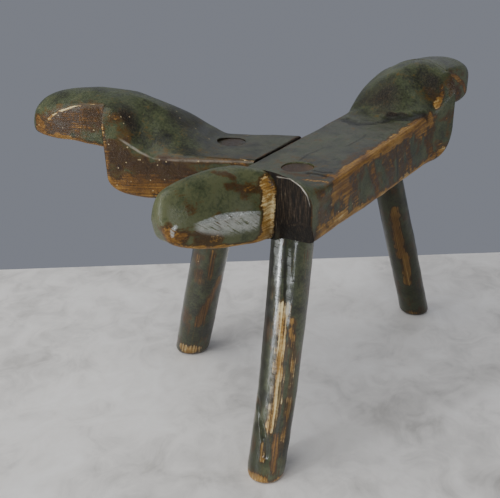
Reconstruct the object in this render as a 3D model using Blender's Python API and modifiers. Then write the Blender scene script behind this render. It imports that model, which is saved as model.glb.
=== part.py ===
"""Three-legged birthing stool, hewn from two heavy timbers that meet in a Y.

The long timber (seat_beam) is the seat, and each of its ends is carved into a hand grip that rises
in a hump, steps in at a shoulder and ends in a blunt nose. The short timber (seat_arm) butts against
the long one's left side at a skew and ends in the third grip. Two hidden dowels hold the butt joint,
and three raked round legs stand in tapered mortises.

Metres, +Z up. +X runs along the long timber from its low grip to its high one, and the short timber
points to +Y. The drawing's zero is on the seat's top face, and an empty carries everything so that the
origin ends up on the floor, under the middle of the stool.
"""
import math

import bmesh
import bpy
import numpy as np
from mathutils import Matrix, Vector

# Whole stool
SEAT_HEIGHT = 0.291
FIT_GAP = 0.0003
CUT_OVERRUN = 0.010
SEAM_GAP = 0.0008
ARRIS_RADIUS = 0.005
LOWER_ARRIS_RADIUS = 0.006
SHOULDER_STEP = 0.0016
SHARP_ANGLE = math.radians(40.0)

# Long timber: the straight seat between the roots of its two grips
SEAT_START = 0.004
BEAM_WIDTH = 0.093
BEAM_SPAN = 0.211
BEAM_BEND = 0.022
BEAM_DEPTH_NEAR = 0.048
BEAM_DEPTH_FAR = 0.061

# Low grip of the long timber. Distances run outwards from the grip's root, heights from the seat.
NEAR_TURN = math.radians(18.0)
NEAR_TURN_OUT = 0.040
NEAR_LENGTH = 0.139
NEAR_SHOULDER = 0.038
NEAR_PEAK = 0.078
NEAR_LIFT = 0.024
NEAR_TIP_HEIGHT = 0.008
NEAR_EDGE_HEIGHT = 0.005
NEAR_SIDE_ROUND = 0.016
NEAR_GRIP_HALF = 0.026
NEAR_GRIP_SHIFT = 0.014
NEAR_KEEL_HALF = 0.023
NEAR_CHEEK_HEIGHT = 0.006
NEAR_CHEEK_TIP_HEIGHT = -0.004
NEAR_HEEL_BACK = 0.007
NEAR_HEEL_HEIGHT = -0.025
NEAR_UNDER_HEIGHT = -0.046
NEAR_UNDER_TIP_HEIGHT = -0.014

# High grip of the long timber.
FAR_TURN = math.radians(15.0)
FAR_TURN_OUT = 0.064
FAR_LENGTH = 0.197
FAR_SHOULDER = 0.1075
FAR_PEAK = 0.104
FAR_LIFT = 0.0525
FAR_TIP_HEIGHT = 0.024
FAR_BODY_HALF = 0.046
FAR_RIGHT_EDGE_START = 0.058
FAR_RIGHT_EDGE_HEIGHT = 0.022
FAR_LEFT_EDGE_START = 0.024
FAR_LEFT_EDGE_HEIGHT = 0.029
FAR_GRIP_HALF = 0.033
FAR_CHEEK_HEIGHT = 0.041
FAR_CHEEK_TIP_HEIGHT = 0.019
FAR_HEEL_LENGTH = 0.034
FAR_HEEL_HEIGHT = -0.030
FAR_UNDER_HEIGHT = -0.001
FAR_UNDER_TIP_HEIGHT = 0.003
FAR_UNDER_SAG = 0.005

# Short timber. Distances run outwards from the seam's front corner.
ARM_CORNER = 0.030
ARM_SKEW = math.radians(18.2)
ARM_HALF = 0.0475
ARM_DEPTH = 0.046
ARM_LENGTH = 0.250
ARM_SHOULDER = 0.154
ARM_RISE_START = 0.038
ARM_PEAK = 0.178
ARM_LIFT = 0.056
ARM_TIP_HEIGHT = 0.027
ARM_BODY_HALF = 0.049
ARM_FRONT_EDGE_START = 0.096
ARM_FRONT_EDGE_HEIGHT = 0.030
ARM_BACK_EDGE_START = 0.048
ARM_BACK_EDGE_HEIGHT = 0.034
ARM_GRIP_HALF = 0.034
ARM_CHEEK_HEIGHT = 0.046
ARM_CHEEK_TIP_HEIGHT = 0.021
ARM_HEEL_LENGTH = 0.050
ARM_HEEL_HEIGHT = -0.031
ARM_UNDER_HEIGHT = 0.001
ARM_UNDER_TIP_HEIGHT = 0.013

# Legs: where each stands on the floor and where its tenon meets the seat's face
NEAR_LEG_TENON_X = 0.0295
NEAR_LEG_TENON_Y = 0.0003
NEAR_LEG_FOOT_X = -0.0545
NEAR_LEG_FOOT_Y = -0.007
NEAR_LEG_FOOT_RADIUS = 0.0188
NEAR_LEG_NECK_RADIUS = 0.0192
LEFT_LEG_TENON_X = 0.074
LEFT_LEG_TENON_Y = 0.102
LEFT_LEG_FOOT_X = 0.0994
LEFT_LEG_FOOT_Y = 0.1929
LEFT_LEG_FOOT_RADIUS = 0.0220
LEFT_LEG_NECK_RADIUS = 0.0214
FAR_LEG_TENON_X = 0.222
FAR_LEG_TENON_Y = 0.002
FAR_LEG_FOOT_X = 0.327
FAR_LEG_FOOT_Y = -0.026
FAR_LEG_FOOT_RADIUS = 0.0195
FAR_LEG_NECK_RADIUS = 0.0175
LEG_TENON_RADIUS = 0.0150
LEG_TENON_SUNK = 0.0008
FAR_TENON_BLIND = 0.014

# Hidden dowels across the seam
DOWEL_RADIUS = 0.007
DOWEL_LENGTH = 0.064
DOWEL_CHAMFER = 0.0015
DOWEL_INSET = 0.027

# Shape laws shared by the grips, as (share of the run, share of the height)
RISE_SHARES = (
    (0, 0), (0.1, 0.04), (0.2, 0.17), (0.35, 0.43), (0.5, 0.68), (0.65, 0.84), (0.85, 0.95), (1, 1),
)
EDGE_SHARES = ((0, 0), (0.15, 0.04), (0.35, 0.2), (0.6, 0.5), (0.8, 0.76), (1, 1))
STEEP_EDGE_SHARES = ((0, 0), (0.19, 0.25), (0.45, 0.66), (0.68, 0.87), (1, 1))
FALL_SHARES = ((0, 0), (0.3, 0.03), (0.55, 0.12), (0.75, 0.28), (0.9, 0.55), (0.97, 0.8), (1, 1))
HEEL_SHARES = ((0, 0), (0.3, 0.05), (0.55, 0.17), (0.75, 0.36), (0.9, 0.64), (1, 1))
UNDER_SHARES = ((0, 0), (0.22, 0.3), (0.43, 0.55), (0.7, 0.7), (1, 1))
NEAR_UNDER_SHARES = ((0, 0), (0.15, 0.03), (0.3, 0.11), (0.57, 0.28), (0.79, 0.46), (0.94, 0.7), (1, 1))
NEAR_CHEEK_SHARES = ((0, 0), (0.05, 0.6), (0.16, 2.0), (0.32, 1.6), (0.65, 1.3), (0.85, 1.1), (1, 1))
NOSE_POWER = 2.8
CROWN_POWER = 2.0
HUMP_CROWN_POWER = 1.4
NEAR_ROOT_CROWN_POWER = 4.5
CROWN_RUN_SHARE = 0.25
SEAT_RUN_SHARES = (0.15, 0.4, 0.65, 0.85)
BACK_STATION_SHARES = (0.0, 0.14, 0.28, 0.42, 0.56, 0.7, 0.82, 0.92, 0.97)
OUT_STATION_SHARES = (0.06, 0.16, 0.28, 0.4, 0.52, 0.64, 0.74, 0.83, 0.9, 0.95, 0.98, 0.995)
CROWN_SHARES = (-0.72, -0.45, -0.2, 0.0, 0.2, 0.45, 0.72)
CORNER_STEPS = 3
LINE_STEPS = 120
LEG_SIDES = 28
DOWEL_SIDES = 20


def clear_scene():
    for old in list(bpy.data.objects):
        bpy.data.objects.remove(old, do_unlink=True)


def collection(name, parent):
    made = bpy.data.collections.new(name)
    parent.children.link(made)
    return made


def material(name, colour, roughness):
    made = bpy.data.materials.new(name)
    made.use_nodes = True
    surface = made.node_tree.nodes["Principled BSDF"]
    surface.inputs["Base Color"].default_value = (*colour, 1.0)
    surface.inputs["Roughness"].default_value = roughness
    surface.inputs["Metallic"].default_value = 0.0
    return made


def follow(shares, x):
    """Smooth curve through a table of shares that never overshoots between two of its rows."""
    rows = np.array(shares, float)
    xs, ys = rows[:, 0], rows[:, 1]
    run = np.diff(xs)
    slope = np.diff(ys) / run
    tangent = np.zeros(len(xs))
    for i in range(1, len(xs) - 1):
        if slope[i - 1] * slope[i] > 0:
            a = 2 * run[i] + run[i - 1]
            b = run[i] + 2 * run[i - 1]
            tangent[i] = (a + b) / (a / slope[i - 1] + b / slope[i])
    tangent[-1] = slope[-1]
    x = min(max(x, xs[0]), xs[-1])
    i = min(int(np.searchsorted(xs, x, side="right")) - 1, len(run) - 1)
    t = (x - xs[i]) / run[i]
    square, cube = t * t, t * t * t
    return (
        (2 * cube - 3 * square + 1) * ys[i]
        + (cube - 2 * square + t) * run[i] * tangent[i]
        + (3 * square - 2 * cube) * ys[i + 1]
        + (cube - square) * run[i] * tangent[i + 1]
    )


def ease(t):
    t = min(max(t, 0.0), 1.0)
    return t * t * (3 - 2 * t)


def climb(shares, distance, start, end, height):
    """Height at a distance along a run that climbs from nothing at start to its full height at end."""
    return height * follow(shares, (distance - start) / (end - start))


# One grip: every size of its section at a distance outwards from the grip's own zero

def grip(sizes, distance, depth):
    """Section of a timber's end: body before the shoulder, hand grip after it, one short step between."""
    out = sizes["shoulder"]
    body = ease((distance - sizes["root"]) / (out - sizes["root"]))
    show = sizes["root_half"] + (sizes["body_half"] - sizes["root_half"]) * body
    back = show
    crest = climb(RISE_SHARES, distance, sizes["root"], sizes["peak"], sizes["lift"])
    show_edge = climb(sizes["show_shares"], distance, sizes["show_from"], out, sizes["show_height"])
    back_edge = climb(sizes["back_shares"], distance, sizes["back_from"], out, sizes["back_height"])
    side_round = ARRIS_RADIUS + (sizes["side_round"] - ARRIS_RADIUS) * body
    bottom = -depth
    if sizes["heel"]:
        heel = follow(HEEL_SHARES, (distance - out + sizes["heel"]) / sizes["heel"])
        bottom += (sizes["heel_height"] + depth) * heel
    show_keel, back_keel = show, back
    power = sizes["body_power"]

    past = (distance - out) / (sizes["length"] - out)
    if past > 0:
        past = min(past, 1.0)
        step = ease((distance - out) / SHOULDER_STEP)
        nose = (1 - past**NOSE_POWER) ** (1 / NOSE_POWER)
        shift = sizes["shift"]
        width = sizes["grip_half"] * nose
        keel = sizes["keel_half"] * nose
        cheek = sizes["cheek"] + (sizes["cheek_tip"] - sizes["cheek"]) * follow(sizes["cheek_shares"], past)
        under = sizes["under"] + (sizes["under_tip"] - sizes["under"]) * follow(sizes["under_shares"], past)
        under -= sizes["under_sag"] * math.sin(math.pi * past)
        show += (width - shift - show) * step
        back += (width + shift - back) * step
        show_keel += (keel - shift - show_keel) * step
        back_keel += (keel + shift - back_keel) * step
        show_edge += (cheek - show_edge) * step
        back_edge += (cheek - back_edge) * step
        side_round += (ARRIS_RADIUS - side_round) * step
        bottom += (under - bottom) * step
        root_power = sizes["root_power"] - CROWN_POWER
        power += (CROWN_POWER + root_power * (1 - ease(past / CROWN_RUN_SHARE)) - power) * step
        tip = (distance - sizes["peak"]) / (sizes["length"] - sizes["peak"])
        crest += (sizes["tip_height"] - sizes["lift"]) * follow(FALL_SHARES, tip)
    return {
        "crest": crest,
        "show": show,
        "back": back,
        "show_keel": show_keel,
        "back_keel": back_keel,
        "show_edge": show_edge,
        "back_edge": back_edge,
        "round": side_round,
        "bottom": bottom,
        "power": power,
    }


def outline(shape):
    """Closed section as (across, up), from the shown side's lower arris round over the crown and back."""
    points = []
    show, back = -shape["show"], shape["back"]
    show_keel, back_keel = -shape["show_keel"], shape["back_keel"]
    low = shape["bottom"]
    height = shape["crest"] - low
    upper = min(shape["round"], height / 4, (back - show) / 5)
    lower = min(LOWER_ARRIS_RADIUS, height / 5, (back_keel - show_keel) / 5)

    def crown(across):
        q = (2 * across - back - show) / (back - show)
        level = shape["show_edge"] + (shape["back_edge"] - shape["show_edge"]) * (q + 1) / 2
        middle = (shape["show_edge"] + shape["back_edge"]) / 2
        return level + (shape["crest"] - middle) * (1 - abs(q) ** shape["power"])

    angles = [math.pi / 2 * i / CORNER_STEPS for i in range(CORNER_STEPS + 1)]
    for angle in angles:
        points.append((show_keel + lower * (1 - math.sin(angle)), low + lower * (1 - math.cos(angle))))
    for angle in angles:
        across = show + upper * (1 - math.cos(angle))
        points.append((across, crown(across) - upper * (1 - math.sin(angle))))
    for share in CROWN_SHARES:
        across = (show + back) / 2 + share * (back - show) / 2
        points.append((across, crown(across)))
    for angle in reversed(angles):
        across = back - upper * (1 - math.cos(angle))
        points.append((across, crown(across) - upper * (1 - math.sin(angle))))
    for angle in reversed(angles):
        points.append((back_keel - lower * (1 - math.sin(angle)), low + lower * (1 - math.cos(angle))))
    return points


# Mesh builders

def add_object(name, mesh, where):
    made = bpy.data.objects.new(name, mesh)
    where.objects.link(made)
    return made


def loft(name, rings, where):
    """Skin over rings of equal count, closed by its first and last ring."""
    work = bmesh.new()
    rows = [[work.verts.new(point) for point in ring] for ring in rings]
    for before, after in zip(rows, rows[1:]):
        for i in range(len(before)):
            j = (i + 1) % len(before)
            work.faces.new((before[i], before[j], after[j], after[i]))
    work.faces.new(rows[0])
    work.faces.new(rows[-1])
    bmesh.ops.recalc_face_normals(work, faces=work.faces)
    mesh = bpy.data.meshes.new(name)
    work.to_mesh(mesh)
    work.free()
    return add_object(name, mesh, where)


def turned(name, profile, sides, where):
    """Profile of (radius, height) from top to bottom, turned about Z into a closed solid."""
    mesh = bpy.data.meshes.new(name)
    mesh.from_pydata(
        [(radius, 0, height) for radius, height in profile],
        [(i, i + 1) for i in range(len(profile) - 1)],
        [],
    )
    made = add_object(name, mesh, where)
    screw = made.modifiers.new("turn", "SCREW")
    screw.steps = sides
    screw.render_steps = sides
    screw.use_merge_vertices = True
    screw.merge_threshold = FIT_GAP / 10
    screw.use_smooth_shade = True
    return made


def block(name, low, high, where):
    work = bmesh.new()
    bmesh.ops.create_cube(work, size=1)
    middle = (Vector(low) + Vector(high)) / 2
    size = Vector(high) - Vector(low)
    stretch = Matrix.Translation(middle) @ Matrix.Diagonal((*size, 1))
    bmesh.ops.transform(work, matrix=stretch, verts=work.verts)
    mesh = bpy.data.meshes.new(name)
    work.to_mesh(mesh)
    work.free()
    return add_object(name, mesh, where)


def cut(target, cutter):
    cutter.hide_render = True
    cutter.display_type = "WIRE"
    change = target.modifiers.new(cutter.name, "BOOLEAN")
    change.operation = "DIFFERENCE"
    change.solver = "EXACT"
    change.object = cutter


# Long timber

def near_sizes():
    return {
        "root": 0.0,
        "length": NEAR_LENGTH,
        "shoulder": NEAR_SHOULDER,
        "peak": NEAR_PEAK,
        "lift": NEAR_LIFT,
        "tip_height": NEAR_TIP_HEIGHT,
        "root_half": BEAM_WIDTH / 2,
        "body_half": BEAM_WIDTH / 2,
        "show_from": 0.0,
        "show_height": NEAR_EDGE_HEIGHT,
        "show_shares": EDGE_SHARES,
        "back_from": 0.0,
        "back_height": NEAR_EDGE_HEIGHT,
        "back_shares": EDGE_SHARES,
        "body_power": CROWN_POWER,
        "root_power": NEAR_ROOT_CROWN_POWER,
        "side_round": NEAR_SIDE_ROUND,
        "grip_half": NEAR_GRIP_HALF,
        "keel_half": NEAR_KEEL_HALF,
        "shift": NEAR_GRIP_SHIFT,
        "cheek": NEAR_CHEEK_HEIGHT,
        "cheek_tip": NEAR_CHEEK_TIP_HEIGHT,
        "cheek_shares": NEAR_CHEEK_SHARES,
        "heel": 0.0,
        "heel_height": NEAR_HEEL_HEIGHT,
        "under": NEAR_UNDER_HEIGHT,
        "under_tip": NEAR_UNDER_TIP_HEIGHT,
        "under_shares": NEAR_UNDER_SHARES,
        "under_sag": 0.0,
    }


def far_sizes():
    return {
        "root": 0.0,
        "length": FAR_LENGTH,
        "shoulder": FAR_SHOULDER,
        "peak": FAR_PEAK,
        "lift": FAR_LIFT,
        "tip_height": FAR_TIP_HEIGHT,
        "root_half": BEAM_WIDTH / 2,
        "body_half": FAR_BODY_HALF,
        "show_from": FAR_RIGHT_EDGE_START,
        "show_height": FAR_RIGHT_EDGE_HEIGHT,
        "show_shares": EDGE_SHARES,
        "back_from": FAR_LEFT_EDGE_START,
        "back_height": FAR_LEFT_EDGE_HEIGHT,
        "back_shares": STEEP_EDGE_SHARES,
        "body_power": HUMP_CROWN_POWER,
        "root_power": CROWN_POWER,
        "side_round": ARRIS_RADIUS,
        "grip_half": FAR_GRIP_HALF,
        "keel_half": FAR_GRIP_HALF,
        "shift": 0.0,
        "cheek": FAR_CHEEK_HEIGHT,
        "cheek_tip": FAR_CHEEK_TIP_HEIGHT,
        "cheek_shares": FALL_SHARES,
        "heel": FAR_HEEL_LENGTH,
        "heel_height": FAR_HEEL_HEIGHT,
        "under": FAR_UNDER_HEIGHT,
        "under_tip": FAR_UNDER_TIP_HEIGHT,
        "under_shares": UNDER_SHARES,
        "under_sag": FAR_UNDER_SAG,
    }


def arm_sizes():
    return {
        "root": ARM_RISE_START,
        "length": ARM_LENGTH,
        "shoulder": ARM_SHOULDER,
        "peak": ARM_PEAK,
        "lift": ARM_LIFT,
        "tip_height": ARM_TIP_HEIGHT,
        "root_half": ARM_HALF,
        "body_half": ARM_BODY_HALF,
        "show_from": ARM_BACK_EDGE_START,
        "show_height": ARM_BACK_EDGE_HEIGHT,
        "show_shares": STEEP_EDGE_SHARES,
        "back_from": ARM_FRONT_EDGE_START,
        "back_height": ARM_FRONT_EDGE_HEIGHT,
        "back_shares": EDGE_SHARES,
        "body_power": HUMP_CROWN_POWER,
        "root_power": CROWN_POWER,
        "side_round": ARRIS_RADIUS,
        "grip_half": ARM_GRIP_HALF,
        "keel_half": ARM_GRIP_HALF,
        "shift": 0.0,
        "cheek": ARM_CHEEK_HEIGHT,
        "cheek_tip": ARM_CHEEK_TIP_HEIGHT,
        "cheek_shares": FALL_SHARES,
        "heel": ARM_HEEL_LENGTH,
        "heel_height": ARM_HEEL_HEIGHT,
        "under": ARM_UNDER_HEIGHT,
        "under_tip": ARM_UNDER_TIP_HEIGHT,
        "under_shares": UNDER_SHARES,
        "under_sag": 0.0,
    }


def grip_stations(sizes, start):
    """Distances at which sections are taken: from start to the shoulder, across the step, to the nose."""
    out = sizes["shoulder"]
    inner = [start + share * (out - start) for share in BACK_STATION_SHARES]
    steps = [out, out + SHOULDER_STEP]
    beyond = out + SHOULDER_STEP
    outer = [beyond + share * (sizes["length"] - beyond) for share in OUT_STATION_SHARES]
    return inner + steps + outer


def heading(run):
    """Direction of the long timber's middle line: straight along the seat, bent one way at each end."""
    near = NEAR_TURN * ease((-run - NEAR_TURN_OUT + BEAM_BEND) / (2 * BEAM_BEND))
    far_turn_run = BEAM_SPAN + FAR_TURN_OUT
    far = FAR_TURN * ease((run - far_turn_run + BEAM_BEND) / (2 * BEAM_BEND))
    return -near - far


def middle_line(run):
    """Point of the middle line at a run from the low grip's root, reached in short straight steps."""
    count = LINE_STEPS
    x, y = SEAT_START, 0.0
    for i in range(count):
        direction = heading(run * (i + 0.5) / count)
        x += math.cos(direction) * run / count
        y += math.sin(direction) * run / count
    return x, y


def ring_turn(run):
    """Sections stand square to the seat as far as each shoulder, then swing round square to the grip."""
    near = NEAR_TURN * ease((-run - NEAR_SHOULDER - SHOULDER_STEP) / ((NEAR_LENGTH - NEAR_SHOULDER) / 2))
    far_shoulder = BEAM_SPAN + FAR_SHOULDER + SHOULDER_STEP
    far = FAR_TURN * ease((run - far_shoulder) / ((FAR_LENGTH - FAR_SHOULDER) / 2))
    return -near - far


def beam_depth(run):
    share = min(run / (BEAM_SPAN + FAR_TURN_OUT), 1.0)
    return BEAM_DEPTH_NEAR + (BEAM_DEPTH_FAR - BEAM_DEPTH_NEAR) * share


def beam_shape(run):
    if run > BEAM_SPAN / 2:
        return grip(far_sizes(), run - BEAM_SPAN, beam_depth(run))
    return grip(near_sizes(), -run, beam_depth(run))


def beam_rings():
    near = sorted(-d for d in grip_stations(near_sizes(), 0.0))
    seat = [BEAM_SPAN * share for share in SEAT_RUN_SHARES]
    far = [BEAM_SPAN + d for d in grip_stations(far_sizes(), 0.0)]
    rings = []
    for run in near + seat + far:
        x, y = middle_line(run)
        turn = ring_turn(run)
        stretch = 1 / math.cos(turn - heading(run))
        ring = []
        for across, up in outline(beam_shape(run)):
            ring.append((x - math.sin(turn) * across * stretch, y + math.cos(turn) * across * stretch, up))
        rings.append(ring)
    return rings


def near_heel_cutter(where):
    """Block that pares the lower edge of the low grip's shoulder, beside the grip only."""
    shoulder = SEAT_START - NEAR_SHOULDER
    depth = beam_depth(-NEAR_SHOULDER) + NEAR_HEEL_HEIGHT
    slope = math.atan2(depth, NEAR_HEEL_BACK)
    reach = BEAM_WIDTH
    made = block("near_heel_cut", (-reach, -reach, -reach), (0, 0, reach), where)
    made.location = (shoulder, NEAR_GRIP_SHIFT - NEAR_GRIP_HALF, NEAR_HEEL_HEIGHT)
    made.rotation_euler = (0, slope - math.pi / 2, 0)
    return made


# Short timber

def arm_place():
    """Frame of the short timber: X outwards along its middle, Y to its front side, on the seam's corner."""
    direction = math.pi / 2 + ARM_SKEW
    along = Vector((math.cos(direction), math.sin(direction), 0))
    front = Vector((-along.y, along.x, 0))
    corner = Vector((ARM_CORNER, BEAM_WIDTH / 2, 0))
    return corner - front * ARM_HALF, along, front


def arm_rings():
    start, along, front = arm_place()
    inside = 2 * ARM_HALF * math.tan(ARM_SKEW) + CUT_OVERRUN
    rings = []
    for distance in [-inside] + grip_stations(arm_sizes(), ARM_RISE_START - CUT_OVERRUN):
        shape = grip(arm_sizes(), distance, ARM_DEPTH)
        ring = []
        for across, up in outline(shape):
            point = start + along * distance + front * across
            ring.append((point.x, point.y, up))
        rings.append(ring)
    return rings


# Legs and mortises

LEGS = {
    "leg_near": {
        "tenon": (NEAR_LEG_TENON_X, NEAR_LEG_TENON_Y),
        "foot": (NEAR_LEG_FOOT_X, NEAR_LEG_FOOT_Y),
        "foot_radius": NEAR_LEG_FOOT_RADIUS,
        "neck_radius": NEAR_LEG_NECK_RADIUS,
        "depth": BEAM_DEPTH_NEAR,
        "blind": 0.0,
        "timber": "seat_beam",
    },
    "leg_left": {
        "tenon": (LEFT_LEG_TENON_X, LEFT_LEG_TENON_Y),
        "foot": (LEFT_LEG_FOOT_X, LEFT_LEG_FOOT_Y),
        "foot_radius": LEFT_LEG_FOOT_RADIUS,
        "neck_radius": LEFT_LEG_NECK_RADIUS,
        "depth": ARM_DEPTH,
        "blind": 0.0,
        "timber": "seat_arm",
    },
    "leg_far": {
        "tenon": (FAR_LEG_TENON_X, FAR_LEG_TENON_Y),
        "foot": (FAR_LEG_FOOT_X, FAR_LEG_FOOT_Y),
        "foot_radius": FAR_LEG_FOOT_RADIUS,
        "neck_radius": FAR_LEG_NECK_RADIUS,
        "depth": BEAM_DEPTH_FAR,
        "blind": FAR_TENON_BLIND,
        "timber": "seat_beam",
    },
}


def leg_axis(leg):
    top = Vector((*leg["tenon"], 0))
    foot = Vector((*leg["foot"], -SEAT_HEIGHT))
    return top, foot


def leg_profile(leg, grow):
    """(radius, height) from the tenon's end down to below the floor, about the leg's own axis."""
    top, foot = leg_axis(leg)
    length = (top - foot).length
    rake = length / SEAT_HEIGHT
    neck = leg["depth"] * rake
    taper = (leg["neck_radius"] - LEG_TENON_RADIUS) / neck
    if leg["blind"]:
        end = -leg["blind"] * rake
        tip = LEG_TENON_RADIUS - taper * end
        head = [(0, end + grow), (tip + grow, end + grow)]
    else:
        end = CUT_OVERRUN * 2
        head = [(0, end), (LEG_TENON_RADIUS - taper * end + grow, end)]
    below = -length - CUT_OVERRUN * 2
    flare = (leg["foot_radius"] - leg["neck_radius"]) / (length - neck)
    bottom = leg["foot_radius"] + flare * CUT_OVERRUN * 2
    return head + [(leg["neck_radius"] + grow, -neck), (bottom + grow, below), (0, below)]


def place_leg(made, leg):
    top, foot = leg_axis(leg)
    made.location = top
    made.rotation_mode = "QUATERNION"
    made.rotation_quaternion = (top - foot).to_track_quat("Z", "Y")


def dowel_profile(grow):
    half = DOWEL_LENGTH / 2 + grow
    radius = DOWEL_RADIUS + grow
    return [
        (0, half),
        (radius - DOWEL_CHAMFER, half),
        (radius, half - DOWEL_CHAMFER),
        (radius, -half + DOWEL_CHAMFER),
        (radius - DOWEL_CHAMFER, -half),
        (0, -half),
    ]


def place_dowel(made, x):
    made.location = (x, BEAM_WIDTH / 2 + SEAM_GAP / 2, -ARM_DEPTH / 2)
    made.rotation_euler = (math.pi / 2, 0, 0)


def build():
    clear_scene()
    scene = bpy.context.scene
    stool = collection("birthing_stool", scene.collection)
    cutters = collection("cutters", scene.collection)

    root = bpy.data.objects.new("stool", None)
    stool.objects.link(root)

    paint = material("timber_paint", (0.085, 0.095, 0.075), 0.34)
    arm_paint = material("arm_paint", (0.080, 0.085, 0.066), 0.34)
    leg_paint = material("leg_paint", (0.075, 0.082, 0.068), 0.36)
    dowel_wood = material("dowel_wood", (0.42, 0.26, 0.12), 0.7)

    parts = {}
    parts["seat_beam"] = loft("seat_beam", beam_rings(), stool)
    parts["seat_beam"].data.materials.append(paint)
    parts["seat_arm"] = loft("seat_arm", arm_rings(), stool)
    parts["seat_arm"].data.materials.append(arm_paint)

    cut(parts["seat_beam"], near_heel_cutter(cutters))

    # The short timber's inner end is sawn off along the long timber's side.
    reach = BEAM_WIDTH + SEAT_HEIGHT
    seam = block(
        "seam_cut",
        (-reach, -reach, -reach),
        (reach, BEAM_WIDTH / 2 + SEAM_GAP, reach),
        cutters,
    )
    cut(parts["seat_arm"], seam)

    floor_cut = block(
        "floor_cut",
        (-2 * reach, -2 * reach, -SEAT_HEIGHT - reach),
        (2 * reach, 2 * reach, -SEAT_HEIGHT),
        cutters,
    )
    face_cut = block(
        "face_cut",
        (-2 * reach, -2 * reach, -LEG_TENON_SUNK),
        (2 * reach, 2 * reach, reach),
        cutters,
    )
    for name, leg in LEGS.items():
        made = turned(name, leg_profile(leg, 0), LEG_SIDES, stool)
        made.data.materials.append(leg_paint)
        place_leg(made, leg)
        cut(made, floor_cut)
        if not leg["blind"]:
            cut(made, face_cut)
        parts[name] = made
        mortise = turned(name + "_mortise", leg_profile(leg, FIT_GAP), LEG_SIDES, cutters)
        place_leg(mortise, leg)
        cut(parts[leg["timber"]], mortise)

    along_seam = 2 * ARM_HALF / math.cos(ARM_SKEW)
    places = {
        "arm_dowel_front": ARM_CORNER + DOWEL_INSET,
        "arm_dowel_back": ARM_CORNER + along_seam - DOWEL_INSET,
    }
    for name, x in places.items():
        made = turned(name, dowel_profile(0), DOWEL_SIDES, stool)
        made.data.materials.append(dowel_wood)
        place_dowel(made, x)
        parts[name] = made
        bore = turned(name + "_bore", dowel_profile(FIT_GAP), DOWEL_SIDES, cutters)
        place_dowel(bore, x)
        cut(parts["seat_beam"], bore)
        cut(parts["seat_arm"], bore)

    # Everything hangs on the empty, which stands the feet on the floor with the stool centred over the
    # origin.
    for one in list(stool.objects) + list(cutters.objects):
        if one is not root:
            one.parent = root
    bpy.context.view_layer.update()
    graph = bpy.context.evaluated_depsgraph_get()
    corners = []
    for one in parts.values():
        shown = one.evaluated_get(graph)
        corners += [shown.matrix_world @ vertex.co for vertex in shown.data.vertices]
    middle_x = (min(c.x for c in corners) + max(c.x for c in corners)) / 2
    middle_y = (min(c.y for c in corners) + max(c.y for c in corners)) / 2
    root.location = (-middle_x, -middle_y, SEAT_HEIGHT)
    for one in parts.values():
        one.data.shade_smooth()
        one.data.set_sharp_from_angle(angle=SHARP_ANGLE)
    bpy.context.view_layer.update()


build()
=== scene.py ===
# %% [markdown]
# A low birthing stool, hewn from two heavy timbers and stood on three round legs. The long timber is
# the seat and rises at both ends into a carved hand grip. The short timber is butted against its side
# and ends in a third grip. Everything was painted dark green long ago, handled for generations and
# varnished over the wear. This notebook dresses the measured model: it works the carved surfaces out
# as curves, lays age on them and lights them like the photograph.

import math
from functools import partial
from types import SimpleNamespace

import bpy
import numpy as np
from mathutils import Matrix, Vector


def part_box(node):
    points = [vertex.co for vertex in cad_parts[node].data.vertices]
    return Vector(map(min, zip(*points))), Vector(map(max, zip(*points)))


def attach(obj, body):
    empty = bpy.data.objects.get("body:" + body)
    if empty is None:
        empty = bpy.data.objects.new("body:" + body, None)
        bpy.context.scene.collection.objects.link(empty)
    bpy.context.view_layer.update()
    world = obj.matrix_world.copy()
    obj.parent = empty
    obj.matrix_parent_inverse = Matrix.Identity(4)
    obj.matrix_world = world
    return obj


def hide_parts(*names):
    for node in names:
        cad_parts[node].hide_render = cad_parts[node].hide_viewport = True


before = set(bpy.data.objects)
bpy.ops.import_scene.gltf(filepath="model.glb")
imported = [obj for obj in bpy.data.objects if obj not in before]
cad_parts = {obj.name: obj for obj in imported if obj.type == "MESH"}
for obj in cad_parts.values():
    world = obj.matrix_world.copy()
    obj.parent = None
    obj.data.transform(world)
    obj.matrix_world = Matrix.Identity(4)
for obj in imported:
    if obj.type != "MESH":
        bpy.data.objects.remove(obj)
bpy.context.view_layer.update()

# %% [markdown]
# The stool was set out from a drawing zero on the seat's face, at the foot of the low grip. Every
# size below is counted from it, along the long timber (x), across it (y) and up (z). A hidden dowel
# shows where that zero lies in the frame, so the carved pieces fall exactly over the measured ones.

# %% Sizes shared by the pieces, in metres
SEAT_HEIGHT = 0.291
BEAM_WIDTH = 0.093
SEAM_GAP = 0.0008
MM = 0.001
DOWEL_ON_DRAWING = (0.057, BEAM_WIDTH / 2 + SEAM_GAP / 2, -0.023)

dowel_low, dowel_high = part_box("arm_dowel_front")
dowel_middle = (np.array(dowel_low) + np.array(dowel_high)) / 2
DRAWING_ZERO = dowel_middle - np.array(DOWEL_ON_DRAWING)
print("drawing zero", DRAWING_ZERO.round(4))

# %% [markdown]
# Hand carving has no straight law, but each of its swells can be followed by a smooth curve. One
# helper is an ease for a swell between two heights. Another is a curve that runs through a short
# table of shares without ever overshooting, which is how a carver fairs a line between two marks, and
# the third stretches that curve from one place and height to another.

# %% Curves
def ease(t):
    """Three t squared less two t cubed: 0 below the step, 1 above it, level at both ends."""
    t = np.clip(t, 0.0, 1.0)
    return t * t * (3 - 2 * t)


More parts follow.
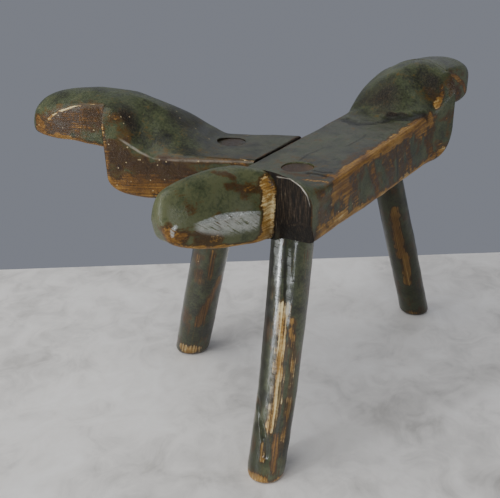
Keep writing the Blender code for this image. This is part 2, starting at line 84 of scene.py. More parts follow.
def follow(shares, x):
    """Cubic through a table of shares; each slope is the harmonic mean of its two neighbours'."""
    xs, ys = np.array(shares, float).T
    run = np.diff(xs)
    slope = np.diff(ys) / run
    near = 2 * run[1:] + run[:-1]
    far = run[1:] + 2 * run[:-1]
    same_way = slope[:-1] * slope[1:] > 0
    safe = np.where(slope == 0, 1.0, slope)
    tangent = np.zeros(len(xs))
    tangent[1:-1] = np.where(same_way, (near + far) / (near / safe[:-1] + far / safe[1:]), 0.0)
    tangent[-1] = slope[-1]
    x = np.clip(x, xs[0], xs[-1])
    i = np.clip(np.searchsorted(xs, x, side="right") - 1, 0, len(run) - 1)
    t = (x - xs[i]) / run[i]
    square, cube = t * t, t * t * t
    return (
        (2 * cube - 3 * square + 1) * ys[i]
        + (cube - 2 * square + t) * run[i] * tangent[i]
        + (3 * square - 2 * cube) * ys[i + 1]
        + (cube - square) * run[i] * tangent[i + 1]
    )


def climb(shares, distance, start, end, height):
    """The table's curve, stretched so that it climbs from nothing at start to its height at end."""
    return height * follow(shares, (distance - start) / (end - start))


print("ease at the quarters", ease(np.array((0.25, 0.5, 0.75))).round(3))


# %% [markdown]
# Nothing on a hewn timber repeats, so two random fields are wanted. The first is a field of soft
# lumps, for slow waviness and for ragged edges of wear. The second gives the shallow hollows that a
# drawknife or an adze leaves, patch beside patch, with a faint ridge where two patches meet.

# %% Random fields
CELL_PRIMES = (73856093, 19349663, 83492791)
SEED_PRIME, FIRST_PRIME, SECOND_PRIME = 2654435761, 2246822519, 3266489917
LOW_32_BITS = 0xFFFFFFFF
HALF_OF_THEM = 0x7FFFFFFF
LATTICE_SHIFT = 31.7
JITTER = 0.42


def hashed(cells, seed):
    """A repeatable number from -1 to 1 for each whole-number cell, by mixing its digits."""
    x, y, z = np.moveaxis(cells.astype(np.int64), -1, 0)
    mixed = x * CELL_PRIMES[0] ^ y * CELL_PRIMES[1] ^ z * CELL_PRIMES[2]
    mixed = (mixed ^ (seed * SEED_PRIME)) & LOW_32_BITS
    mixed = (mixed ^ (mixed >> 15)) * FIRST_PRIME & LOW_32_BITS
    mixed = (mixed ^ (mixed >> 13)) * SECOND_PRIME & LOW_32_BITS
    return (mixed ^ (mixed >> 16)) / HALF_OF_THEM - 1.0


def lumps(points, size, seed):
    """Random numbers on the corners of cubes of that size, blended across each cube by an ease."""
    place = points / size + LATTICE_SHIFT
    cell = np.floor(place)
    t = place - cell
    t = t * t * t * (t * (6 * t - 15) + 10)
    total = np.zeros(points.shape[:-1])
    for corner in np.ndindex(2, 2, 2):
        share = np.prod(np.where(corner, t, 1 - t), axis=-1)
        total += share * hashed(cell + np.array(corner), seed)
    return total


def hollows(along, across, length, width, seed):
    """Square of the distance to the nearest of a jittered lattice of points: 0 in a patch's middle."""
    place = np.stack([along / length, across / width, np.zeros_like(along)], -1)
    cell = np.floor(place)
    nearest = np.full(along.shape, 9.0)
    for i in (-1, 0, 1):
        for j in (-1, 0, 1):
            other = cell + np.array((i, j, 0))
            dx = other[..., 0] + 0.5 + JITTER * hashed(other, seed) - place[..., 0]
            dy = other[..., 1] + 0.5 + JITTER * hashed(other, seed + 7) - place[..., 1]
            nearest = np.minimum(nearest, dx * dx + dy * dy)
    return np.minimum(nearest, 1.0)


some_places = np.linspace(0, 0.3, 12).reshape(4, 3)
print("four samples of lumps", lumps(some_places, 0.02, 1).round(2))


# %% [markdown]
# Each timber's end is one form with three sets of sizes. The body swells up into a hump, stops at a
# shoulder cut square across it, and goes on as a narrower grip that a hand closes round. The grip
# bends a little, thins towards its nose and is undercut, so that fingers fit beneath. Distances run
# outwards from the root of the hump and heights run up from the seat's face. "Show" is the side of
# negative distances across, which the photograph shows on the long timber, and "back" is the other.

# %% Sizes of the three grips
# Root, shoulder, peak and length are distances. Lift and tip are the crest's heights at the peak and
# the nose. Cheek is the height of a section's edge and under that of its underside, with "tip" for
# their heights at the nose. Keel is a section's lower half, heel the underside's rise before the
# shoulder, and a law is the table that a size follows.
ARRIS = 0.0055
LOWER_ARRIS = 0.006
SHOULDER_STEP = 0.0016
RISE = ((0, 0), (0.1, 0.04), (0.2, 0.17), (0.35, 0.43), (0.5, 0.68), (0.65, 0.84), (0.85, 0.95), (1, 1))
EDGE = ((0, 0), (0.15, 0.04), (0.35, 0.2), (0.6, 0.5), (0.8, 0.76), (1, 1))
STEEP_EDGE = ((0, 0), (0.19, 0.25), (0.45, 0.66), (0.68, 0.87), (1, 1))
FALL = ((0, 0), (0.3, 0.03), (0.55, 0.12), (0.75, 0.28), (0.9, 0.55), (0.97, 0.8), (1, 1))
HEEL = ((0, 0), (0.3, 0.05), (0.55, 0.17), (0.75, 0.36), (0.9, 0.64), (1, 1))
UNDER = ((0, 0), (0.22, 0.3), (0.43, 0.55), (0.7, 0.7), (1, 1))
LOW_UNDER = ((0, 0), (0.15, 0.03), (0.3, 0.11), (0.57, 0.28), (0.79, 0.46), (0.94, 0.7), (1, 1))
LOW_CHEEK = ((0, 0), (0.05, 0.6), (0.16, 2.0), (0.32, 1.6), (0.65, 1.3), (0.85, 1.1), (1, 1))

LOW_GRIP = dict(
    root=0.0, length=0.139, shoulder=0.038, peak=0.078, lift=0.024, tip=0.008,
    root_half=BEAM_WIDTH / 2, body_half=BEAM_WIDTH / 2,
    show_from=0.0, show_height=0.005, show_law=EDGE, back_from=0.0, back_height=0.005, back_law=EDGE,
    side_round=0.016, body_power=2.0, root_power=4.5, grip_half=0.026, keel_half=0.023, shift=0.014,
    cheek=0.006, cheek_tip=-0.004, cheek_law=LOW_CHEEK, heel=0.0, heel_height=0.0,
    under=-0.046, under_tip=-0.014, under_law=LOW_UNDER, sag=0.0, fair_run=0.0,
    grip_round=0.0022,
)
HIGH_GRIP = dict(
    root=0.0, length=0.197, shoulder=0.1075, peak=0.104, lift=0.0525, tip=0.024,
    root_half=BEAM_WIDTH / 2, body_half=0.046,
    show_from=0.058, show_height=0.022, show_law=EDGE, back_from=0.024, back_height=0.029,
    back_law=STEEP_EDGE, side_round=ARRIS, body_power=1.4, root_power=2.0, grip_half=0.033,
    keel_half=0.033, shift=0.0, cheek=0.041, cheek_tip=0.019, cheek_law=FALL, heel=0.034,
    heel_height=-0.030, under=-0.001, under_tip=0.003, under_law=UNDER, sag=0.005,
    fair_run=0.04, grip_round=0.004,
)
ARM_GRIP = dict(
    root=0.038, length=0.250, shoulder=0.154, peak=0.178, lift=0.056, tip=0.027,
    root_half=0.0475, body_half=0.049,
    show_from=0.048, show_height=0.034, show_law=STEEP_EDGE, back_from=0.096, back_height=0.030,
    back_law=EDGE, side_round=ARRIS, body_power=1.4, root_power=2.0, grip_half=0.034,
    keel_half=0.034, shift=0.0, cheek=0.046, cheek_tip=0.021, cheek_law=FALL, heel=0.050,
    heel_height=-0.031, under=0.001, under_tip=0.013, under_law=UNDER, sag=0.0,
    fair_run=0.034, grip_round=0.0032,
)
for grip_name, grip in (("low", LOW_GRIP), ("high", HIGH_GRIP), ("side", ARM_GRIP)):
    print(grip_name, "grip, free length in mm:", round((grip["length"] - grip["shoulder"]) / MM))


# %% [markdown]
# A section is cut at every station along a timber. Its sizes are those of the body before the
# shoulder and those of the grip after it. On the shoulder's own face the station hardly moves while
# the section shrinks from one to the other, which is what makes the flat end-grain wall there.

# %% Section of a timber at each station
NOSE_POWER = 2.8
NOSE_SHUTS_AT = 0.93
NOSE_ROUND_GAIN = 0.005


def section(g, distance, past, depth):
    """Widths, heights and rounds by the tables; past, 0 to 1, blends those of the body into the grip's."""
    body = ease((distance - g["root"]) / (g["shoulder"] - g["root"]))
    half = g["root_half"] + (g["body_half"] - g["root_half"]) * body
    crest = climb(RISE, distance, g["root"], g["peak"], g["lift"])
    crest = crest + climb(FALL, distance, g["peak"], g["length"], g["tip"] - g["lift"])
    bottom = -depth
    if g["heel"]:
        heel_start = g["shoulder"] - g["heel"]
        bottom = bottom + climb(HEEL, distance, heel_start, g["shoulder"], g["heel_height"] + depth)

    t = np.clip((distance - g["shoulder"]) / (g["length"] - g["shoulder"]), 0.0, 1.0)
    nose = (1 - t**NOSE_POWER) ** (1 / NOSE_POWER)
    cheek = g["cheek"] + (g["cheek_tip"] - g["cheek"]) * follow(g["cheek_law"], t)
    under = g["under"] + (g["under_tip"] - g["under"]) * follow(g["under_law"], t)
    under = under - g["sag"] * np.sin(np.pi * t)
    grip_power = 2.0 + (g["root_power"] - 2.0) * (1 - ease(t / 0.25))
    show_swell = climb(g["show_law"], distance, g["show_from"], g["shoulder"], g["show_height"])
    back_swell = climb(g["back_law"], distance, g["back_from"], g["shoulder"], g["back_height"])
    fair = 0 * past
    if g["fair_run"]:
        fair = ease((distance - g["shoulder"]) / g["fair_run"] + 1) * (past < 1)

    def blend(on_body, on_grip):
        """A straight mix by past: the body's size before the shoulder and the grip's beyond it."""
        return on_body + (on_grip - on_body) * past

    made = dict(
        crest=crest,
        show=blend(half, g["grip_half"] * nose - g["shift"]),
        back=blend(half, g["grip_half"] * nose + g["shift"]),
        show_keel=blend(half, g["keel_half"] * nose - g["shift"]),
        back_keel=blend(half, g["keel_half"] * nose + g["shift"]),
        show_edge=blend(show_swell, cheek),
        back_edge=blend(back_swell, cheek),
        round=blend(ARRIS + (g["side_round"] - ARRIS) * body, g["grip_round"] + NOSE_ROUND_GAIN * t**3),
        bottom=blend(bottom, under),
        power=blend(g["body_power"], grip_power),
        nose=t,
        fair=fair,
        fair_half=g["grip_half"] + 0 * past,
        fair_cheek=cheek,
    )
    # The nose is closed like a thumb: top and underside draw together over its last few millimetres.
    shut = np.sqrt(1 - np.clip((t - NOSE_SHUTS_AT) / (1 - NOSE_SHUTS_AT), 0, 1) ** 2)
    middle = (made["crest"] + made["bottom"]) / 2
    for size in ("crest", "show_edge", "back_edge", "bottom"):
        made[size] = middle + (made[size] - middle) * shut
    return made


at_shoulder = section(HIGH_GRIP, np.array((HIGH_GRIP["shoulder"],)), np.zeros(1), 0.06)
print("high hump's crest at its shoulder, in mm:", (at_shoulder["crest"] / MM).round(1))


# %% [markdown]
# The outline of a section goes round in eight strokes: lower arris, wall, upper arris, crown, and
# the same back down the other side, then the underside. Every stroke is an array with one row for
# each section and one column for each point, so the whole timber is worked out in a few lines.

# %% Outline round each section
STROKE_POINTS = dict(lower=8, wall=26, upper=14, crown=74, under=40)
# An arris never takes more than a part of a section's height or width: that size over this number.
UPPER_BY_HEIGHT, UPPER_BY_WIDTH, LOWER_BY_EITHER = 3.2, 4.5, 5


def outline(s):
    """Across and up of every point: quarter circles at the arrises, straight walls, a bowed crown."""
    col = {size: value[:, None] for size, value in s.items()}
    show, back = -col["show"], col["back"]
    show_keel, back_keel = -col["show_keel"], col["back_keel"]
    low, height = col["bottom"], col["crest"] - col["bottom"]
    upper = np.minimum(col["round"], np.minimum(height / UPPER_BY_HEIGHT, (back - show) / UPPER_BY_WIDTH))
    lower = np.minimum(LOWER_ARRIS, np.minimum(height, back_keel - show_keel) / LOWER_BY_EITHER)

    def crown(across):
        """Level between both edges, plus a bow: one less a power of the place across, from -1 to 1."""
        q = (2 * across - back - show) / np.maximum(back - show, 1e-6)
        level = col["show_edge"] + (col["back_edge"] - col["show_edge"]) * (q + 1) / 2
        middle = (col["show_edge"] + col["back_edge"]) / 2
        plain = level + (col["crest"] - middle) * (1 - np.abs(q) ** col["power"])
        # A fair top reaches the grip's own crown before the shoulder, so no step shows from above.
        on_grip = np.clip(np.abs(across) / col["fair_half"], 0, 1)
        wanted = col["fair_cheek"] + (col["crest"] - col["fair_cheek"]) * (1 - on_grip**2)
        room = np.maximum(1 - col["fair_half"] / np.maximum(back, 1e-6), 0.02)
        beyond = ease((1 - np.abs(q)) / room)
        return plain + col["fair"] * beyond * np.maximum(wanted - plain, 0)

    def steps(stroke):
        """Even steps from 0 towards 1, as many as the stroke has points."""
        return np.linspace(0, 1, STROKE_POINTS[stroke], endpoint=False)[None, :]

    turn_low = steps("lower") * np.pi / 2
    turn_up = steps("upper") * np.pi / 2
    wall, top, base = steps("wall"), steps("crown"), steps("under")
    show_top = crown(show) - upper
    back_top = crown(back) - upper
    show_in, back_in = show + upper, back - upper
    across = [
        show_keel + lower * (1 - np.sin(turn_low)),
        show_keel + (show - show_keel) * wall,
        show + upper * (1 - np.cos(turn_up)),
        show_in + (back_in - show_in) * top,
        back_in + upper * np.sin(turn_up),
        back + (back_keel - back) * wall,
        back_keel - lower * (1 - np.cos(turn_low)),
        back_keel - lower + (show_keel - back_keel + 2 * lower) * base,
    ]
    up = [
        low + lower * (1 - np.cos(turn_low)),
        low + lower + (show_top - low - lower) * wall,
        crown(across[2]) - upper * (1 - np.sin(turn_up)),
        crown(across[3]),
        crown(across[4]) - upper * (1 - np.cos(turn_up)),
        back_top + (low + lower - back_top) * wall,
        low + lower * (1 - np.sin(turn_low)),
        np.broadcast_to(low, (len(low), base.shape[1])),
    ]
    return np.concatenate(across, 1), np.concatenate(up, 1)


print("points round a section", outline(at_shoulder)[0].shape[1])


# %% [markdown]
# Stations are not spread evenly. The shoulder gets many: a rounded outer arris worn by hands, the
# flat wall itself, and a hollow inner corner where the blade stopped. The nose gets its stations
# closer and closer together, so that it closes in a smooth dome.

# %% Stations from the root of a grip to its nose
OUTER_ROUND = 0.0026
INNER_ROUND = 0.0035
WALL_FROM, WALL_TO = 0.07, 0.9
ARC_STATIONS, WALL_STATIONS = 9, 26
LOW_COUNTS, HIGH_COUNTS = (30, 62), (66, 56)
NOSE_CROWDING = 1.15


def grip_stations(g, start, body_count, grip_count):
    """Distance and past-the-shoulder share: body, arris arc, wall, corner arc, grip, nose."""
    out = g["shoulder"]
    body = np.linspace(start, out - OUTER_ROUND, body_count, endpoint=False)
    turn = np.linspace(0, np.pi / 2, ARC_STATIONS)[:-1]
    arris = out - OUTER_ROUND + OUTER_ROUND * np.sin(turn)
    arris_past = WALL_FROM * (1 - np.cos(turn))
    wall_past = np.linspace(WALL_FROM, WALL_TO, WALL_STATIONS)[:-1]
    wall = out + SHOULDER_STEP * (wall_past - WALL_FROM) / (WALL_TO - WALL_FROM)
    corner = out + SHOULDER_STEP + INNER_ROUND * (1 - np.cos(turn))
    corner_past = 1 - (1 - WALL_TO) * (1 - np.sin(turn))
    first = out + SHOULDER_STEP + INNER_ROUND
    t = np.linspace(0, 1, grip_count)
    grip = first + (g["length"] - first) * np.sin(t * np.pi / 2) ** NOSE_CROWDING
    distance = np.concatenate([body, arris, wall, corner, grip])
    past = np.concatenate([np.zeros(body_count), arris_past, wall_past, corner_past, np.ones(grip_count)])
    return distance, past


low_distance, low_past = grip_stations(LOW_GRIP, 0.0, *LOW_COUNTS)
high_distance, high_past = grip_stations(HIGH_GRIP, 0.0, *HIGH_COUNTS)
grip_distance, grip_past = grip_stations(ARM_GRIP, ARM_GRIP["root"], *HIGH_COUNTS)
print("stations: low end", len(low_distance), "high end", len(high_distance), "side", len(grip_distance))


# %% [markdown]
# The long timber's middle line runs straight along the seat and bends the same way at both ends, as
# the tree grew. It is found by adding up many short steps. Sections stay square to the seat as far
# as each shoulder, because the shoulders were sawn square, and then swing round with the grip.

# %% Long timber: path and depth
SEAT_START = 0.004
BEAM_SPAN = 0.211
BEND = 0.022
LOW_DEPTH, DEPTH_GAIN = 0.048, 0.013
LOW_TURN, LOW_TURN_OUT = math.radians(18), 0.040
HIGH_TURN, HIGH_TURN_OUT = math.radians(15), 0.064
SWING_DELAY, LOW_SWING, HIGH_SWING = 0.005, 0.048, 0.042
PATH_FROM, PATH_TO, PATH_POINTS = -0.16, 0.43, 6001


def heading(run):
    """Direction of the middle line: an ease towards each grip's own turn."""
    low = LOW_TURN * ease((-run - LOW_TURN_OUT + BEND) / (2 * BEND))
    high = HIGH_TURN * ease((run - BEAM_SPAN - HIGH_TURN_OUT + BEND) / (2 * BEND))
    return -low - high


def section_turn(run):
    """Direction that a section faces: square to the seat up to the shoulder, then with the grip."""
    low = LOW_TURN * ease((-run - LOW_GRIP["shoulder"] - SWING_DELAY) / LOW_SWING)
    high = HIGH_TURN * ease((run - BEAM_SPAN - HIGH_GRIP["shoulder"] - SWING_DELAY) / HIGH_SWING)
    return -low - high


fine_run = np.linspace(PATH_FROM, PATH_TO, PATH_POINTS)
fine_step = fine_run[1] - fine_run[0]
fine_x = np.cumsum(np.cos(heading(fine_run))) * fine_step
fine_y = np.cumsum(np.sin(heading(fine_run))) * fine_step
fine_x += SEAT_START - np.interp(0, fine_run, fine_x)
fine_y -= np.interp(0, fine_run, fine_y)


def beam_depth(run):
    """The underside falls in a straight line from the low end to the high one."""
    return LOW_DEPTH + DEPTH_GAIN * np.minimum(run / (BEAM_SPAN + HIGH_TURN_OUT), 1.0)


noses = np.interp((-LOW_GRIP["length"], BEAM_SPAN + HIGH_GRIP["length"]), fine_run, fine_x)
print("long timber, from nose to nose in mm:", round(np.ptp(noses) / MM))

# %% [markdown]
# One grid can hold the whole long timber, which keeps its skin free of seams. So the stations of the
# low end are turned round and set before those of the seat and of the high end, and each half takes
# its sections from its own grip. Only then is every point carried out to its place on the middle line.

# %% Long timber: grid of points
SEAT_STATIONS = 130
GRIP_ITSELF = 0.95

seat_run = np.linspace(0, BEAM_SPAN, SEAT_STATIONS)[1:-1]
beam_run = np.concatenate([-low_distance[::-1], seat_run, BEAM_SPAN + high_distance])
beam_past = np.concatenate([low_past[::-1], np.zeros(len(seat_run)), high_past])
at_low = beam_run < BEAM_SPAN / 2
low_section = section(LOW_GRIP, -beam_run, beam_past, beam_depth(beam_run))
high_section = section(HIGH_GRIP, beam_run - BEAM_SPAN, beam_past, beam_depth(beam_run))
beam_section = {size: np.where(at_low, low_section[size], high_section[size]) for size in low_section}
beam_across, beam_up = outline(beam_section)

beam_turn = section_turn(beam_run)[:, None]
beam_stretch = 1 / np.cos(beam_turn - heading(beam_run)[:, None])
beam_points = np.stack([
    np.interp(beam_run, fine_run, fine_x)[:, None] - np.sin(beam_turn) * beam_across * beam_stretch,
    np.interp(beam_run, fine_run, fine_y)[:, None] + np.cos(beam_turn) * beam_across * beam_stretch,
    beam_up,
], -1)

# The lower edge of the low shoulder was pared back beside the grip, so it leans in under the seat.
PARED_BELOW, PARED_HEIGHT, PARED_BY = -0.025, 0.023, 0.007
PARED_BESIDE, PARED_BLEND = -0.011, 0.003
shoulder_x = SEAT_START - LOW_GRIP["shoulder"]
pare = np.clip((PARED_BELOW - beam_points[..., 2]) / PARED_HEIGHT, 0, 1) * PARED_BY
beside = ease((PARED_BESIDE - beam_points[..., 1]) / PARED_BLEND)
lowest_x = shoulder_x + pare * beside
on_low_end = (at_low & (beam_past < GRIP_ITSELF))[:, None]
beam_points[..., 0] = np.where(on_low_end, np.maximum(beam_points[..., 0], lowest_x), beam_points[..., 0])
print("long timber grid", beam_points.shape)

# %% [markdown]
# The short timber is straight. Its inner end is sawn along the long timber's side, so the first
# stretch of its grid is sheared: every line along it starts where it meets that side. The sawn edge
# is worn round, more at the back, which is why the joint shows as a dark line that opens out.

# %% Short timber: grid of points
ARM_SKEW = math.radians(18.2)
ARM_CORNER = 0.030
ARM_HALF = 0.0475
ARM_DEPTH = 0.046
FIRST_SHARES, SHEARED_FROM, SHEARED_STATIONS = (0.0, 0.004, 0.013, 0.03), 0.06, 34

arm_along = np.array((math.cos(math.pi / 2 + ARM_SKEW), math.sin(math.pi / 2 + ARM_SKEW)))
arm_front = np.array((-arm_along[1], arm_along[0]))
arm_start = np.array((ARM_CORNER, BEAM_WIDTH / 2)) - arm_front * ARM_HALF

evenly = np.linspace(SHEARED_FROM, 1, SHEARED_STATIONS, endpoint=False)
sheared = np.concatenate([FIRST_SHARES, evenly])
arm_distance = np.concatenate([np.full(len(sheared), ARM_GRIP["root"]), grip_distance])
arm_past = np.concatenate([np.zeros(len(sheared)), grip_past])
arm_section = section(ARM_GRIP, arm_distance, arm_past, np.full(len(arm_distance), ARM_DEPTH))
arm_across, arm_up = outline(arm_section)
seam_y = BEAM_WIDTH / 2 + SEAM_GAP
meets = (seam_y - arm_start[1] - arm_front[1] * arm_across) / arm_along[1]
share = np.concatenate([sheared, np.ones(len(grip_distance))])[:, None]
arm_run = meets + (arm_distance[:, None] - meets) * share

# The first rings draw in a little, which rounds the sawn edge.
SAWN_EDGE_ROUND = (0.0016, 0.0008, 0.0002)
OPENS_BY = 0.9
NEAR_SIDE, HALF_WAY_DOWN = 0.040, -0.02
draw_in = np.zeros(len(arm_distance))
draw_in[:len(SAWN_EDGE_ROUND)] = SAWN_EDGE_ROUND
open_out = 1 + OPENS_BY * ease((ARM_HALF - arm_across) / (2 * ARM_HALF))
outwards = np.sign(arm_across) * (np.abs(arm_across) > NEAR_SIDE)
upwards = np.where(arm_up > HALF_WAY_DOWN, 1, -1)
arm_across = arm_across - outwards * draw_in[:, None]
arm_up = arm_up - upwards * draw_in[:, None] * open_out
arm_points = np.stack([
    arm_start[0] + arm_along[0] * arm_run + arm_front[0] * arm_across,
    arm_start[1] + arm_along[1] * arm_run + arm_front[1] * arm_across,
    arm_up,
], -1)
print("short timber grid", arm_points.shape)


# %% [markdown]
# With the plain form worked out, the hand work goes on. Normals come from the grid's own two
# directions, and the bend of the surface along them tells how sharp each place is: that is where
# paint wears off first. The blade's hollows and a slow waviness are then added along the normals.

# %% Normals, sharpness and blade marks of a grid
BLADE_DEPTH = 0.00035
BLADE_PATCH, SMALL_PATCH = (0.030, 0.017), (0.013, 0.009)
WAVE, SMALL_WAVE = 0.0007, 0.0003
WAVE_LENGTH, SMALL_WAVE_LENGTH = 0.045, 0.018
LEAST_GAP = 1.5 * MM


def grid_normals(points):
    """Cross product of the steps along the grid's two directions, turned to face away from the core."""
    along = np.gradient(points, axis=0)
    across = np.roll(points, -1, 1) - np.roll(points, 1, 1)
    normal = np.cross(along, across)
    length = np.linalg.norm(normal, axis=-1, keepdims=True)
    normal = normal / np.maximum(length, 1e-12)
    outward = points - points.mean(1, keepdims=True)
    if (normal * outward).sum() < 0:
        normal = -normal
    return normal


def sharpness(points, normal, reach):
    """The sharper of the bends along and round the grid, in 1/m, as 1 over the radius there."""
    def bend(before, after):
        """Twice how far a point stands out between two others, over the square of half their gap."""
        gap = np.linalg.norm(after - before, axis=-1) / 2
        out = ((points - (before + after) / 2) * normal).sum(-1)
        return 2 * out / np.maximum(gap, LEAST_GAP) ** 2

    rows = np.arange(len(points))
    ahead = points[np.minimum(rows + reach, len(points) - 1)]
    behind = points[np.maximum(rows - reach, 0)]
    return np.maximum(bend(np.roll(points, reach, 1), np.roll(points, -reach, 1)), bend(behind, ahead))


def girth(points):
    """Distance round the section from its first point, in metres, by adding up the steps."""
    steps = np.linalg.norm(np.diff(points, axis=1), axis=-1)
    return np.concatenate([np.zeros((len(points), 1)), np.cumsum(steps, 1)], 1)


def carve(points, run, past, nose, seed):
    """Moves a grid along its normals by hollows and waves, less on the grips' walls and at the noses."""
    normal = grid_normals(points)
    patch = hollows(run + 0 * points[..., 0], girth(points), *BLADE_PATCH, seed)
    small = hollows(run + 0 * points[..., 0], girth(points), *SMALL_PATCH, seed + 3)
    wave = WAVE * lumps(points, WAVE_LENGTH, seed + 1)
    wave = wave + SMALL_WAVE * lumps(points, SMALL_WAVE_LENGTH, seed + 2)
    calm = (1 - ease((nose - 0.9) / 0.1))[:, None]
    marks = (patch - 0.4) + 0.4 * (small - 0.4)
    height = (BLADE_DEPTH * marks + wave) * calm
    height = height * np.where((past > 0.02) & (past < 0.98), 0.4, 1.0)[:, None]
    return points + normal * height[..., None]


plain_beam = beam_points
beam_points = carve(beam_points, beam_run[:, None], beam_past, beam_section["nose"], 11)
arm_points = carve(arm_points, arm_run, arm_past, arm_section["nose"], 23)
moved = np.linalg.norm(beam_points - plain_beam, axis=-1).max()
print("hand work moves the long timber's skin by up to", round(moved / MM, 2), "mm")

# %% [markdown]
# Some marks are in known places, so they are listed as broken lines in millimetres from the drawing
# zero: here the creases at the foot of the high hump and the cracks in the seat. One function gives
# the strength of such lines at every point, and a groove is that strength taken inwards.

# %% Marks along lines: tone, half width in mm, strength, line in mm
HUMP_CREASE = (
    (0, 4, 0.9, ((209, 35, 0), (195, 13, 0), (205, -2, 1))),
    (0, 4, 1.0, ((213, -7, 0), (227, -13, 3), (235, -33, 3), (262, -44, -1))),
)
SEAT_CRACKS = (
    (0, 1.3, 1.0, ((17, -16, 0), (18, -24, 0), (16, -35, 0))),
    (0, 1.0, 0.8, ((26, -18, 0), (24, -28, 0), (27, -36, 0))),
    (0, 0.9, 0.7, ((48, 8, 0), (70, 10, 0), (96, 7, 0))),
    (0, 0.8, 0.6, ((110, -12, 0), (140, -15, 0), (158, -13, 0))),
)
CREASE_DEPTH, CRACK_DEPTH = 0.0016, 0.0007
FALLOFF, RAGGEDNESS, RAGGED_LUMPS = 0.62, 0.35, 0.006
USUAL_TONE = 0.45


def to_lines(points, strokes):
    """Strength from the distance to the nearest line, with a ragged edge, and the lines' mean tone."""
    ragged = lumps(points, RAGGED_LUMPS, 5)
    reach = np.zeros(points.shape[:-1])
    weight = np.full(reach.shape, 1e-3)
    toned = weight * USUAL_TONE
    for tone, half, strength, line in strokes:
        line = np.array(line) * MM
        nearest = np.full(reach.shape, 1.0)
        for start, end in zip(line[:-1], line[1:]):
            run = end - start
            share = np.clip(((points - start) @ run) / (run @ run), 0, 1)
            gap = points - start - share[..., None] * run
            nearest = np.minimum(nearest, np.linalg.norm(gap, axis=-1))
        rubbed = strength * ease(1 + RAGGEDNESS - FALLOFF * nearest / (half * MM) + RAGGEDNESS * ragged)
        reach = np.maximum(reach, rubbed)
        weight += rubbed**2
        toned += rubbed**2 * tone
    return reach, toned / weight


def groove(points, strokes, depth):
    """Takes the surface inwards along its normals by a depth times the lines' strength."""
    return points - grid_normals(points) * (depth * to_lines(points, strokes)[0])[..., None]


beam_points = groove(beam_points, HUMP_CREASE, CREASE_DEPTH)
beam_points = groove(beam_points, SEAT_CRACKS, CRACK_DEPTH)
in_marks = to_lines(beam_points, HUMP_CREASE + SEAT_CRACKS)[0] > 0.5
print("points in creases and cracks", in_marks.sum())


# %% [markdown]
# Meshes are made from grids in one go. The grid is closed round the section, and each end is shut
# with a fan round a middle point, so that every piece is one closed skin with its faces outwards.

# %% Grid to mesh, and the two timbers
def skin(name, points):
    """Quads between neighbouring rings and a fan over each end ring, all facing outwards."""
    count, sides = points.shape[:2]
    ring = np.arange(sides)
    after = np.roll(ring, -1)
    base = (np.arange(count - 1) * sides)[:, None]
    quads = np.stack([base + ring, base + after, base + sides + after, base + sides + ring], -1)
    quads = quads.reshape(-1, 4)
    ends = np.stack([points[0].mean(0), points[-1].mean(0)])
    first = count * sides
    last_ring = (count - 1) * sides
    fan_in = np.stack([after, ring, np.full(sides, first)], -1)
    fan_out = np.stack([last_ring + ring, last_ring + after, np.full(sides, first + 1)], -1)
    flat = np.concatenate([points.reshape(-1, 3), ends]) + DRAWING_ZERO
    corners = flat[quads]
    facing = np.cross(corners[:, 1] - corners[:, 0], corners[:, 3] - corners[:, 0])
    outward = corners.mean(1) - np.repeat(points.mean(1)[:-1] + DRAWING_ZERO, sides, 0)
    if (facing * outward).sum() < 0:
        quads, fan_in, fan_out = quads[:, ::-1], fan_in[:, ::-1], fan_out[:, ::-1]
    mesh = bpy.data.meshes.new(name)
    mesh.from_pydata(flat.tolist(), [], quads.tolist() + fan_in.tolist() + fan_out.tolist())
    mesh.shade_smooth()
    made = bpy.data.objects.new(name, mesh)
    bpy.context.scene.collection.objects.link(made)
    print(name, len(mesh.vertices), "points", 2 * len(quads) + 2 * sides, "triangles")
    return made


beam = skin("carved_seat_timber", beam_points)
arm = skin("carved_side_timber", arm_points)


# %% [markdown]
# The three legs are alike in form, so each is a row of sizes in one table. Two tenons come through
# the seat and end just under its face, and the far one's reach is below zero, as it stops in the hump.
# Age has its place in the table too: how worn the foot is, and how far the paint has faded.

# %% Sizes of the legs
# Top and foot are places across the stool. Neck and end are radii, below the seat and at the foot.
# Depth is the mortise's, and sink is how far the tenon's end lies under the seat's face.
# Bow is half of how far the leg's middle stands aside. A reach below zero ends the tenon lower.
LEGS = {
    "near": dict(
        top=(0.0295, 0.0003), foot=(-0.0545, -0.007), bow=(0.0010, -0.0014), neck=0.0204, end=0.0190,
        depth=0.048, sink=0.0009, reach=0.0, seed=41, foot_wear=1.0, fade=-0.1,
    ),
    "left": dict(
        top=(0.074, 0.102), foot=(0.0994, 0.1929), bow=(0.0, 0.0), neck=0.0214, end=0.0220,
        depth=0.046, sink=0.0005, reach=0.0, seed=42, foot_wear=0.45, fade=-0.04,
    ),
    "far": dict(
        top=(0.222, 0.002), foot=(0.327, -0.026), bow=(0.0, 0.0), neck=0.0177, end=0.0196,
        depth=0.061, sink=0.0009, reach=-0.015, seed=43, foot_wear=0.4, fade=0.0,
    ),
}
TENON_RADIUS = 0.0150
TENON_FACE_SHARES = (0.02, 0.35, 0.7, 0.95)
LEG_SIDES, MORTISE_RINGS, LEG_RINGS = 96, 24, 150
SHAVING_DEPTH = 0.0004
SHAVING_FLAT = (0.085, 0.013)
LEG_WAVE, LEG_SMALL_WAVE = 0.0006, 0.0002
LEG_WAVE_LENGTH, LEG_SMALL_WAVE_LENGTH = 0.04, 0.012
USUAL_RADIUS = 0.02
FOOT_ROUND, FOOT_ROUND_HEIGHT = 0.0032, 0.005
LEG_SPLIT = (
    (0, 2.1, 1.0, ((-48, 6, -212), (-52, 3, -222), (-56, -4, -232), (-61, -11, -247), (-64, -13, -262))),
)
SPLIT_DEPTH = 0.0024
